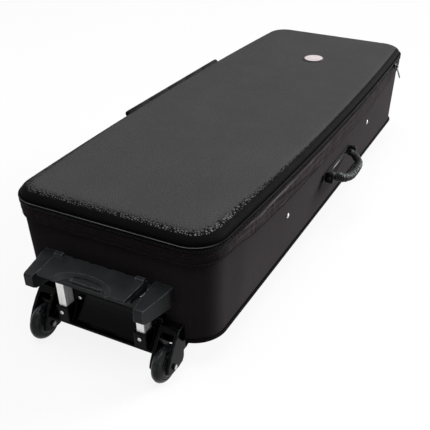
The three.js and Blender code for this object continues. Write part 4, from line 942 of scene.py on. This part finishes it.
def lid_rows(columns, inset, edge_steps, rough=0.0):
    """Level rings of the lid from its rim to its middle."""
    way = way_along(wall_ring(columns, SEAM, 0))
    rim_heights = np.linspace(LID_BASE, LID_BAND_TOP - inset, 3)[:-1]
    rows = [wall_ring(columns, height, inset) for height in rim_heights]
    for step in range(edge_steps + 1):
        angle = math.radians(90 * step / edge_steps)
        grain = rough * math.sin(angle) * ripple(way, PEBBLE_WAVE, 40 + step)[:-1]
        height = LID_BAND_TOP - inset + LID_EDGE_RISE * math.sin(angle) - abs(grain)
        run = (LID_EDGE_RUN - inset) * (1 - math.cos(angle))
        rows.append(wall_ring(columns, height, inset + run + grain))
    for share in (0.97, 0.92, 0.8, 0.65, 0.5, 0.35, 0.2, 0.08):
        height = LID_BAND_TOP + LID_EDGE_RISE - inset + LID_CROWN * (1 - share ** 2)
        rows.append(shrunk(wall_ring(columns, height, LID_EDGE_RUN), share))
    return rows


def lid_cover():
    """Lid: pebbled skin over a moulded shell, with a rolled rim."""
    columns = wall_columns(LID_STEP)
    rows = lid_rows(columns, LID_WALL, 6)[::-1] + lid_rows(columns, 0.0, 12, PEBBLE_DEPTH)
    crown = LID_BAND_TOP + LID_EDGE_RISE + LID_CROWN
    piece = lofted("lid_cover", rows, start_cap=(0, 0, crown - LID_WALL), end_cap=(0, 0, crown))
    stand_for(piece, "lid_shell")


def lid_piping():
    """Glossy piping round the lid."""
    columns = without_hinge(wall_columns(TRIM_STEP))
    stand_for(belt("lid_piping", columns, cord_section(PIPING_HEIGHT, PIPING_RADIUS, 0.0003)), "lid_bead")


def bottom_binding():
    """Binding round the lower edge, open behind the carriage."""
    columns = wall_columns(TRIM_STEP)
    ring = wall_ring(columns, BINDING_HEIGHT, 0)
    columns = open_run(columns, (abs(ring[:, 0]) < BINDING_GAP) & (ring[:, 1] < -HALF_LENGTH + 0.02))
    section = cord_section(BINDING_HEIGHT, BINDING_RADIUS, -BINDING_SINK)
    stand_for(belt("edge_binding", columns, section), "bottom_binding", "edge_binding")


def tape_foot(columns):
    """Height of the lower tape's edge: it sags along the handle side."""
    ring = wall_ring(columns, SEAM, 0)
    side = np.clip((ring[:, 0] - 0.13) / 0.05, 0, 1)
    side = side * side * (3 - 2 * side)
    return SEAM - TAPE_HEIGHT - side * np.interp(ring[:, 1], TAPE_WAYS, TAPE_DROPS)


def zip_tapes():
    """Lower tape with puckers and a rolled hem, and the narrow upper tape."""
    columns = without_hinge(wall_columns(TRIM_STEP))
    way = way_along(wall_ring(columns, SEAM, 0), False)
    face = TAPE_GAP + TAPE_THICKNESS
    low = tape_foot(columns) + EDGE_WANDER * ripple(way, 0.024, 3)
    hem_top = low + HEM_HEIGHT
    pucker = PUCKER_DEPTH * (0.6 * ripple(way, 0.011, 7) + 0.4 * ripple(way, 0.006, 8))
    roll = TAPE_GAP + HEM_THICKNESS + 0.25 * pucker
    section = [(low, TAPE_GAP), (low, roll - 0.0008), (low + 0.0007, roll), (hem_top - 0.0008, roll),
               (hem_top, roll - 0.001)]
    for share in (0.08, 0.2, 0.35, 0.5, 0.62, 0.74, 0.86, 0.95):
        swell = math.sin(math.pi * min(1, share * 1.05)) ** 0.7
        section.append((hem_top + (SEAM - 0.0045 - hem_top) * share, face + 0.0002 + abs(pucker) * swell))
    section += [(SEAM - 0.0042, face), (SEAM - 0.0002, face), (SEAM - 0.0001, TAPE_GAP)]
    stand_for(belt("zip_tape_case", columns, section), "zip_tape_lower")
    top = LID_BASE + UPPER_TAPE_HEIGHT
    section = [(LID_BASE, TAPE_GAP), (LID_BASE + 0.0001, face), (LID_BASE + 0.002, face),
               (top - 0.0004, face), (top, face - 0.0006), (top, TAPE_GAP)]
    stand_for(belt("zip_tape_lid", columns, section), "zip_tape_upper")


# ---------------------------------------------------------------- repeated pieces by Geometry Nodes

def row_tree(name, shape_kind, sizes):
    """A tree that sets a small shape along a line of points, as teeth or stitches."""
    tree = bpy.data.node_groups.new(name, "GeometryNodeTree")
    add_socket = tree.interface.new_socket
    add_socket(name="Line", in_out="INPUT", socket_type="NodeSocketGeometry")
    for label, value in STITCH_SIZE.items():
        add_socket(name=label, in_out="INPUT", socket_type="NodeSocketFloat").default_value = value
    add_socket(name="Finish", in_out="INPUT", socket_type="NodeSocketMaterial")
    add_socket(name="Row", in_out="OUTPUT", socket_type="NodeSocketGeometry")
    given, end = tree.nodes.new("NodeGroupInput").outputs, tree.nodes.new("NodeGroupOutput")

    def made(kind, result, values, **settings):
        return add_node(tree, kind, values, **settings).outputs[result]

    curve = made("GeometryNodeMeshToCurve", "Curve", {"Mesh": given["Line"]})
    trim = add_node(tree, "GeometryNodeTrimCurve", {"Curve": curve}, mode="LENGTH")
    start, stop = [socket for socket in trim.inputs if socket.name in ("Start", "End") and socket.enabled]
    feed(start, given["Start"])
    feed(stop, made("GeometryNodeCurveLength", "Length", {"Curve": curve}))
    dots = add_node(tree, "GeometryNodeCurveToPoints",
                    {"Curve": trim.outputs["Curve"], "Length": given["Pitch"]}, mode="LENGTH").outputs
    along = made("FunctionNodeAlignRotationToVector", "Rotation", {"Vector": dots["Tangent"]}, axis="X")
    upright = made("FunctionNodeAlignRotationToVector", "Rotation", {"Rotation": along, "Vector": (0, 0, 1)},
                   axis="Z", pivot_axis="X")
    size = made("ShaderNodeCombineXYZ", "Vector",
                {"X": given["Long"], "Y": given["Deep"], "Z": given["Tall"]})
    solid = made(shape_kind, "Mesh", sizes)
    shape = made("GeometryNodeTransform", "Geometry", {"Geometry": solid, "Scale": size})
    row = made("GeometryNodeInstanceOnPoints", "Instances",
               {"Points": dots["Points"], "Instance": shape, "Rotation": upright})
    real = made("GeometryNodeRealizeInstances", "Geometry", {"Geometry": row})
    feed(end.inputs["Row"],
         made("GeometryNodeSetMaterial", "Geometry", {"Geometry": real, "Material": given["Finish"]}))
    return tree


def row_of_pieces(name, tree, line, finish, numbers):
    """Small pieces along a line of points, as one plain mesh."""
    mesh = bpy.data.meshes.new(name + "_line")
    links = [(place, place + 1) for place in range(len(line) - 1)]
    mesh.from_pydata([tuple(point) for point in line], links, [])
    guide = placed(name + "_line", mesh)
    growth = alter(guide, "row", "NODES", node_group=tree)
    for item in tree.interface.items_tree:
        if item.name in numbers:
            growth[item.identifier] = numbers[item.name]
        elif item.name == "Finish":
            growth[item.identifier] = finishes[finish]
    graph = bpy.context.evaluated_depsgraph_get()
    row = bpy.data.meshes.new_from_object(guide.evaluated_get(graph), depsgraph=graph)
    bpy.data.objects.remove(guide)
    row.name = name
    return shaded(placed(name, row))


def zip_teeth():
    """The two rows of teeth, on the tray and on the lid."""
    tree = row_tree("row of teeth", "GeometryNodeMeshCone",
                    {"Vertices": 8, "Radius Top": 0.36, "Radius Bottom": 0.55, "Depth": 1.0})
    columns = without_hinge(wall_columns(TRIM_STEP))
    long, deep, tall = TOOTH_SIZE
    rows = (("zip_teeth_case", "zip_chain_lower", SEAM - tall / 2 - 0.0001, 0.0),
            ("zip_teeth_lid", "zip_chain_upper", LID_BASE + tall / 2, TOOTH_PITCH / 2))
    for name, node, height, start in rows:
        line = wall_ring(columns, height, -TOOTH_OFFSET)
        numbers = {"Pitch": TOOTH_PITCH, "Start": start, "Long": long * 1.3, "Deep": deep * 1.1, "Tall": tall}
        stand_for(row_of_pieces(name, tree, line, "zip_teeth", numbers), node)


def stitch_rows():
    """Sewn rows: twin rows below the teeth and one on the hem."""
    tree = row_tree("row of stitches", "GeometryNodeMeshUVSphere", {"Segments": 6, "Rings": 5, "Radius": 0.5})
    columns = without_hinge(wall_columns(TRIM_STEP))
    face = TAPE_GAP + TAPE_THICKNESS
    rows = (("stitches_under_teeth", SEAM - 0.0062, face + 0.0004),
            ("stitches_second_row", SEAM - 0.0092, face + 0.0008),
            ("stitches_on_hem", tape_foot(columns) + 0.0016, TAPE_GAP + HEM_THICKNESS + 0.0001))
    for name, height, out in rows:
        piece = row_of_pieces(name, tree, wall_ring(columns, height, -out), "thread", STITCH_SIZE)
        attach(piece, "case")


# ---------------------------------------------------------------- inside of the case

def floor_cushion():
    """Floor pad: foam in cloth that swells a little between the tie straps."""
    piece = copy_of("floor_pad", "floor_cushion")
    for vertex in piece.data.vertices:
        x, y, z = vertex.co
        vertex.co = (x * 0.985, y * 0.992, PAD_LOW + 0.0008 + (z - PAD_LOW) * 0.72)
    alter(piece, "recast", "REMESH", mode="VOXEL", voxel_size=0.006)
    settled(piece)
    start = numbers_of(piece)
    swell_by_simulation(piece, PAD_PRESSURE)
    move = numbers_of(piece) - start
    size = np.linalg.norm(move, axis=1, keepdims=True)
    now = start + move * np.minimum(1, PAD_SWELL_LIMIT / np.maximum(size, 1e-9))
    from_strap = np.min([abs(now[:, 1] - place) for place in STRAP_PLACES], axis=0)
    under_strap = np.clip(1.8 - from_strap / STRAP_WIDTH * 2, 0, 1)
    roof = PAD_PUFFED - (PAD_PUFFED - PAD_TOP + 0.0002) * under_strap
    now[:, 2] = np.clip(now[:, 2], PAD_LOW, roof)
    move_points(piece, now)
    alter(shaded(piece), "soft", "SUBSURF", levels=1, render_levels=1)
    stand_for(piece, "floor_pad")


def swell_by_simulation(piece, pressure):
    """Blows a closed cloth up for twenty frames and keeps the result."""
    scene = bpy.context.scene
    cloth = piece.modifiers.new("swell", "CLOTH")
    cloth.settings.use_pressure = True
    cloth.settings.uniform_pressure_force = pressure
    cloth.settings.quality = 5
    cloth.settings.mass = 0.3
    cloth.settings.effector_weights.gravity = 0.0
    cloth.point_cache.frame_start = 1
    cloth.point_cache.frame_end = 20
    for moment in range(1, 21):
        scene.frame_set(moment)
        bpy.context.view_layer.update()
    settled(piece)
    scene.frame_set(1)


def quilt_point(across, along, is_puffed):
    """One point of the lid's lining; across and along run from -1 to 1."""
    corner = max(0.0, abs(across) ** 8 + abs(along) ** 24 - 1)
    bow = 1 + SIDE_BOW / HALF_WIDTH * (1 - along ** 2)
    x = across * (HALF_WIDTH - QUILT_INSET) * bow * (1 - 0.12 * corner)
    y = along * (HALF_LENGTH - QUILT_INSET) * (1 - 0.03 * corner)
    share = max(abs(x) / (HALF_WIDTH - LID_EDGE_RUN + SIDE_BOW * (1 - (y / HALF_LENGTH) ** 2)),
                abs(y) / (HALF_LENGTH - LID_EDGE_RUN))
    roof = LID_BAND_TOP + LID_EDGE_RISE - LID_WALL - 0.0005 + LID_CROWN * (1 - min(1, share) ** 2)
    depth = 0.0
    if is_puffed:
        seams = math.sin((x + y) * math.pi / QUILT_PITCH) * math.sin((x - y) * math.pi / QUILT_PITCH)
        rim = max(0.0, min(1.0, (1 - abs(across)) * 14, (1 - abs(along)) * 40))
        depth = (QUILT_THIN + QUILT_PUFF * abs(seams) ** 0.35) * math.sqrt(rim)
    return x, y, roof - 0.0002 - depth


def quilted_lining():
    """Lid lining: thin padding sewn in long lozenges, under the lid's crown."""
    points, faces = [], []
    for is_puffed in (True, False):
        start = len(points)
        points += [quilt_point(2 * column / QUILT_COLUMNS - 1, 2 * row / QUILT_ROWS - 1, is_puffed)
                   for row in range(QUILT_ROWS + 1) for column in range(QUILT_COLUMNS + 1)]
        for row in range(QUILT_ROWS):
            for column in range(QUILT_COLUMNS):
                near = start + row * (QUILT_COLUMNS + 1) + column
                far = near + QUILT_COLUMNS + 1
                face = [near, near + 1, far + 1, far]
                faces.append(face[::-1] if is_puffed else face)
    piece = new_piece("lid_quilting", points, faces)
    clean(piece, 0.00001)
    stand_for(piece, "lid_lining")


def strap_path(y):
    """Middle line of a tie strap across the case, as places of X and Z."""
    off_wall = TRAY_WALL + STRAP_OFF_WALL + STRAP_THICKNESS / 2
    level = STRAP_FLOOR + STRAP_OFF_FLOOR
    heights = np.linspace(STRAP_TOP, STRAP_FLOOR + 0.007, 14)
    path = [(wall_x(height, y) - off_wall, height) for height in heights]
    corner_x = wall_x(STRAP_FLOOR, y) - off_wall
    for turn in (20, 45, 70):
        angle = math.radians(turn)
        path.append((corner_x - STRAP_BEND * (1 - math.cos(angle)),
                     level + STRAP_BEND * (1 - math.sin(angle))))
    path += [((corner_x - 0.008) * share, level) for share in np.linspace(1, 0, 12)]
    return path + [(-x, height) for x, height in reversed(path[:-1])]


def strap_section():
    """Section of the webbing: flat with thicker rounded borders."""
    half = STRAP_WIDTH / 2
    thick = STRAP_THICKNESS / 2
    upper = [(-half, 0), (-half + 0.0005, thick), (-half + 0.003, thick), (-half + 0.004, thick * 0.7),
             (0, thick * 0.75), (half - 0.004, thick * 0.7), (half - 0.003, thick), (half - 0.0005, thick),
             (half, 0)]
    return upper + [(across, -up) for across, up in reversed(upper[1:-1])]


def tie_straps():
    """Two webbing straps that lie on the pad and climb the walls to their rivets."""
    section = strap_section()
    count = len(section)
    for place, y in zip(("near", "far"), STRAP_PLACES):
        path = strap_path(y)
        ways = way_along(np.array(path), False)
        points, faces = [], []
        for number, (x, height) in enumerate(path):
            before, after = path[max(number - 1, 0)], path[min(number + 1, len(path) - 1)]
            run = Vector((after[0] - before[0], after[1] - before[1])).normalized()
            points += [(x - run.y * up, y + across, height + run.x * up) for across, up in section]
            if number:
                faces += ring_faces(count, (number - 1) * count, number * count)
        faces.append(tuple(range(count))[::-1])
        faces.append(tuple(range(len(points) - count, len(points))))
        places = [(ways[corner // count], points[corner][1]) for face in faces for corner in face]
        piece = new_piece(f"webbing_{place}", points, faces, places)
        clean(piece)
        stand_for(piece, f"tie_strap_{place}")


# ---------------------------------------------------------------- wheels, tubes and fittings

def tyre_profile():
    """Section of a tyre as radius and place: bead, rounded tread with two shallow grooves, bead."""
    inner, half = HUB_RIM + 0.0003, TYRE_HALF
    profile = [(inner, -half + 0.0008), (inner + 0.0008, -half), (inner + 0.0032, -half)]
    for step in range(15):
        angle = math.radians(-90 + 180 * step / 14)
        radius = WHEEL_RADIUS - half + half * max(0.0, math.cos(angle))
        groove = 0.0004 if step in (5, 9) else 0.0
        profile.append((radius - groove, half * math.sin(angle)))
    return profile + [(inner + 0.0032, half), (inner + 0.0008, half), (inner, half - 0.0008)]


def hub_profile():
    """Section of a dished hub with a turned lip, as radius and place."""
    lip, boss, half = HUB_RIM, HUB_BOSS, WHEEL_HALF
    face = [(HUB_BORE, half), (boss - 0.001, half), (boss, half - 0.001), (boss + 0.0006, 0.0052),
            (boss + 0.002, 0.004), (lip - 0.0066, 0.004), (lip - 0.005, 0.005), (lip - 0.004, 0.0078),
            (lip - 0.0034, 0.0088), (lip - 0.0022, 0.0092), (lip - 0.0006, 0.009), (lip, 0.0082)]
    return face + [(radius, -place) for radius, place in reversed(face)]


def wheels():
    """Solid tyres on dished hubs."""
    for side, sign in (("left", -1), ("right", 1)):
        centre = (sign * WHEEL_X, WHEEL_Y, WHEEL_Z)
        stand_for(turned(f"tyre_{side}", tyre_profile(), centre, "x", 64), f"wheel_tyre_{side}")
        stand_for(turned(f"hub_{side}", hub_profile(), centre, "x", 64), f"wheel_hub_{side}")


def plain_section(half_x, half_y, count):
    """Rounded rectangle with that many evenly spread points."""
    dense = []
    for sign_x, sign_y, start in CORNERS:
        for step in range(9):
            angle = math.radians(start + 90 * step / 8)
            dense.append((sign_x * (half_x - RAIL_CORNER) + RAIL_CORNER * math.cos(angle),
                          sign_y * (half_y - RAIL_CORNER) + RAIL_CORNER * math.sin(angle)))
    way = way_along(np.array(dense))
    closed = np.array(dense + dense[:1])
    places = np.arange(count) * way[-1] / count
    return list(zip(np.interp(places, way, closed[:, 0]), np.interp(places, way, closed[:, 1])))


def ribbed_section(half_x, half_y, count):
    """Section of the drawn tube: fine ribs on both sides and a groove beside each front corner."""
    section = []
    for x, y in plain_section(half_x, half_y, count):
        if abs(x) > half_x - 0.0002 and abs(y) < half_y - 0.003:
            rib = 0.5 - 0.5 * math.cos(2 * math.pi * y / RAIL_RIB_PITCH)
            x -= math.copysign(RAIL_RIB_DEPTH * rib, x)
        if abs(y) > half_y - 0.0002 and abs(abs(x) - RAIL_GROOVE_X) < 0.0005:
            y -= math.copysign(RAIL_GROOVE_DEPTH, y)
        section.append((x, y))
    return section


def outer_rails():
    """Outer tubes: drawn section with ribs, grooves and a hole in front."""
    half_x, half_y, count = RAIL_WIDE / 2, RAIL_DEEP / 2, RAIL_POINTS
    outer = ribbed_section(half_x, half_y, count)
    inner = [(x * (half_x - RAIL_WALL) / half_x, y * (half_y - RAIL_WALL) / half_y)
             for x, y in plain_section(half_x, half_y, count)]
    rings = [(outer, RAIL_LOW, 1.0), (outer, RAIL_HIGH - RAIL_EDGE, 1.0), (outer, RAIL_HIGH, 0.96),
             (inner, RAIL_HIGH, 1.0), (inner, RAIL_LOW, 1.0)]
    for side, sign in (("left", -1), ("right", 1)):
        points, faces = [], []
        for number, (section, height, share) in enumerate(rings):
            points += [(sign * RAIL_X + x * share, RAIL_Y + y * share, height) for x, y in section]
            faces += ring_faces(count, number * count, (number + 1) % len(rings) * count)
        piece = new_piece(f"tube_{side}", points, faces, is_smooth=False)
        clean(piece)
        drill(piece, (sign * RAIL_X, RAIL_Y - RAIL_DEEP / 2, RAIL_HOLE_HEIGHT), RAIL_HOLE_RADIUS, 0.004)
        stand_for(piece, f"rail_outer_{side}")


def drill(piece, place, radius, depth):
    """A round hole along Y."""
    profile = [(0.0001, -depth), (radius, -depth), (radius, depth), (0.0001, depth)]
    bit = turned("bit", profile, place, "y", 24)
    alter(piece, "hole", "BOOLEAN", operation="DIFFERENCE", solver="EXACT", object=bit)
    settled(piece)
    bpy.data.objects.remove(bit)


def carry_loop():
    """Ribbed rubber loop of the carry handle."""
    piece = recast(copy_of("carry_handle", "carry_loop"), 0.0008, 0.5)
    fill_out_grip(piece)
    stand_for(piece, "carry_handle", "carry_loop")


def fill_out_grip(piece):
    """Makes the loop's grip fuller, cuts the ribs across it and lifts its near arm."""
    points, normals = numbers_of(piece), numbers_of(piece, "normal")
    depth = points[:, 0] - points[:, 0].min()
    reach = abs(points[:, 1] - LOOP_MIDDLE)
    arm = np.clip((reach - LOOP_ARM[0]) / (LOOP_ARM[1] - LOOP_ARM[0]), 0, 1)
    rib = 0.5 + 0.5 * np.sin(2 * math.pi * (reach + arm * (LOOP_OUT - points[:, 0])) / RIB_PITCH)
    grip = np.clip((LOOP_HALF_GRIP + 0.008 - reach) / 0.012, 0, 1) * np.clip((depth - 0.012) / 0.006, 0, 1)
    near = np.clip((LOOP_MIDDLE - 0.015 - points[:, 1]) / 0.03, 0, 1)
    near_arm = near * np.clip((depth - 0.009) / 0.006, 0, 1) * np.clip((0.062 - reach) / 0.004, 0, 1)
    points += normals * (grip * (GRIP_SWELL + RIB_HEIGHT * rib) + arm * near_arm * NEAR_ARM_SWELL)[:, None]
    points[:, 2] += NEAR_ARM_LIFT * near * np.clip((depth - 0.008) / 0.014, 0, 1)
    move_points(piece, points)


def hard_parts():
    """The moulded and pressed parts, with softened edges."""
    for node, grain in (("wheel_carriage", 0.0008), ("trolley_dock", 0.0007), ("grip_base", 0.0006),
                        ("grip_top", 0.0006), ("release_button", 0.0005)):
        stand_for(recast(copy_of(node, node + "_form"), grain, 0.4), node)
    for node, width in (("rear_foot_left", 0.001), ("rear_foot_right", 0.001), ("zip_slider", 0.0003),
                        ("zip_puller", 0.0003), ("lid_badge", 0.0002)):
        softened(node, width)
    for node, width in (("handle_bracket_near", 0.0008), ("handle_bracket_far", 0.0008),
                        ("hinge_leaf_lower", 0.0006), ("hinge_leaf_upper", 0.0006)):
        softened(node, width, "plain_fitting")
    softened("handle_plate", 0.0003, "handle_plate")


def giving_spring():
    """The spring under the release button, on a mesh of its own."""
    piece = stand_for(copy_of("button_spring", "button_spring_coil"), "button_spring")
    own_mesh(piece)


def dress_the_rest():
    """Every CAD node still shown takes its slot's finish, and the axle bolts their own."""
    for name, node in frame["nodes"].items():
        for slot in node.material_slots:
            slot.link = "OBJECT"
            slot.material = finishes["axle_steel" if name.startswith("axle_bolt") else node_slots[name]]


# ---------------------------------------------------------------- studio

def seen_directly(tree):
    """1 for what the camera sees straight, in a reflection or through glass."""
    path = add_node(tree, "ShaderNodeLightPath").outputs
    first = figure("MAXIMUM", path["Is Camera Ray"], path["Is Glossy Ray"])
    return figure("MAXIMUM", first, path["Is Transmission Ray"])


def floor_finish():
    """Pale floor that shows white, keeps the shadow and lights the case a little from below."""
    material = bpy.data.materials.new("pale floor")
    material.use_nodes = True
    tree = material.node_tree
    tree.nodes.remove(node_of(tree, "BSDF_PRINCIPLED"))
    matte = add_node(tree, "ShaderNodeBsdfDiffuse", {"Color": (0.14, 0.14, 0.14, 1)})
    glow = add_node(tree, "ShaderNodeEmission", {"Strength": times(seen_directly(tree), 0.88)})
    both = add_node(tree, "ShaderNodeAddShader", {0: matte.outputs[0], 1: glow.outputs[0]})
    feed(node_of(tree, "OUTPUT_MATERIAL").inputs["Surface"], both.outputs[0])
    return material


def soft_lamp(name, place, target, size, power):
    """A square soft lamp that looks at a target."""
    light = bpy.data.lights.new(name, "AREA")
    light.size = size
    light.energy = power
    lamp = placed(name, light)
    lamp.location = place
    lamp.rotation_euler = (Vector(target) - Vector(place)).to_track_quat("-Z", "Y").to_euler()


def studio():
    """Pale floor, white surroundings and soft lamps from above and from the handle side."""
    corners = [(x, y, GROUND) for x, y in ((-6, -6), (6, -6), (6, 6), (-6, 6))]
    floor = new_piece("floor", corners, [(0, 1, 2, 3)])
    floor.data.materials.append(floor_finish())
    world = bpy.data.worlds.new("studio")
    bpy.context.scene.world = world
    world.use_nodes = True
    tree = world.node_tree
    values = {"Factor": seen_directly(tree), 2: 0.09, 3: 1.0}
    tone = add_node(tree, "ShaderNodeMix", values, data_type="FLOAT")
    back = node_of(tree, "BACKGROUND")
    feed(back.inputs["Color"], (1, 1, 1, 1))
    feed(back.inputs["Strength"], tone.outputs[0])
    soft_lamp("lamp above", (0.3, -0.6, 3.6), (0, 0, 0.15), 2.4, 70)
    soft_lamp("lamp on the handle side", (10.5, 14.0, 5.4), (0, 0, 0.1), 9.0, 4300)


def photo_camera():
    """The camera where the photograph was taken."""
    azimuth, elevation = math.radians(CAMERA_AZIMUTH), math.radians(CAMERA_ELEVATION)
    roll = math.radians(CAMERA_ROLL)
    back = Vector((math.sin(azimuth) * math.cos(elevation), -math.cos(azimuth) * math.cos(elevation),
                   math.sin(elevation)))
    right = Vector((math.cos(azimuth), math.sin(azimuth), 0))
    up = back.cross(right)
    across = math.cos(roll) * right + math.sin(roll) * up
    turn = Matrix((across, math.cos(roll) * up - math.sin(roll) * right, back))
    lens = bpy.data.cameras.new("camera")
    lens.lens = CAMERA_LENS
    lens.sensor_width = 36
    lens.shift_x, lens.shift_y = CAMERA_SHIFT
    camera = placed("camera", lens)
    camera.matrix_world = Matrix.Translation(CAMERA_PLACE) @ turn.transposed().to_4x4()
    bpy.context.scene.camera = camera


# ---------------------------------------------------------------- the case

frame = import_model()
node_slots = {part["node"]: part["material_slot"] for part in frame["record"]["subparts"]}
bpy.context.scene.view_settings.view_transform = "Standard"
photo_camera()
effects = make_effects()
finishes = make_finishes()
dress_the_rest()
tray_cover()
lid_cover()
lid_piping()
bottom_binding()
zip_tapes()
zip_teeth()
stitch_rows()
floor_cushion()
quilted_lining()
tie_straps()
wheels()
outer_rails()
carry_loop()
hard_parts()
giving_spring()
studio()
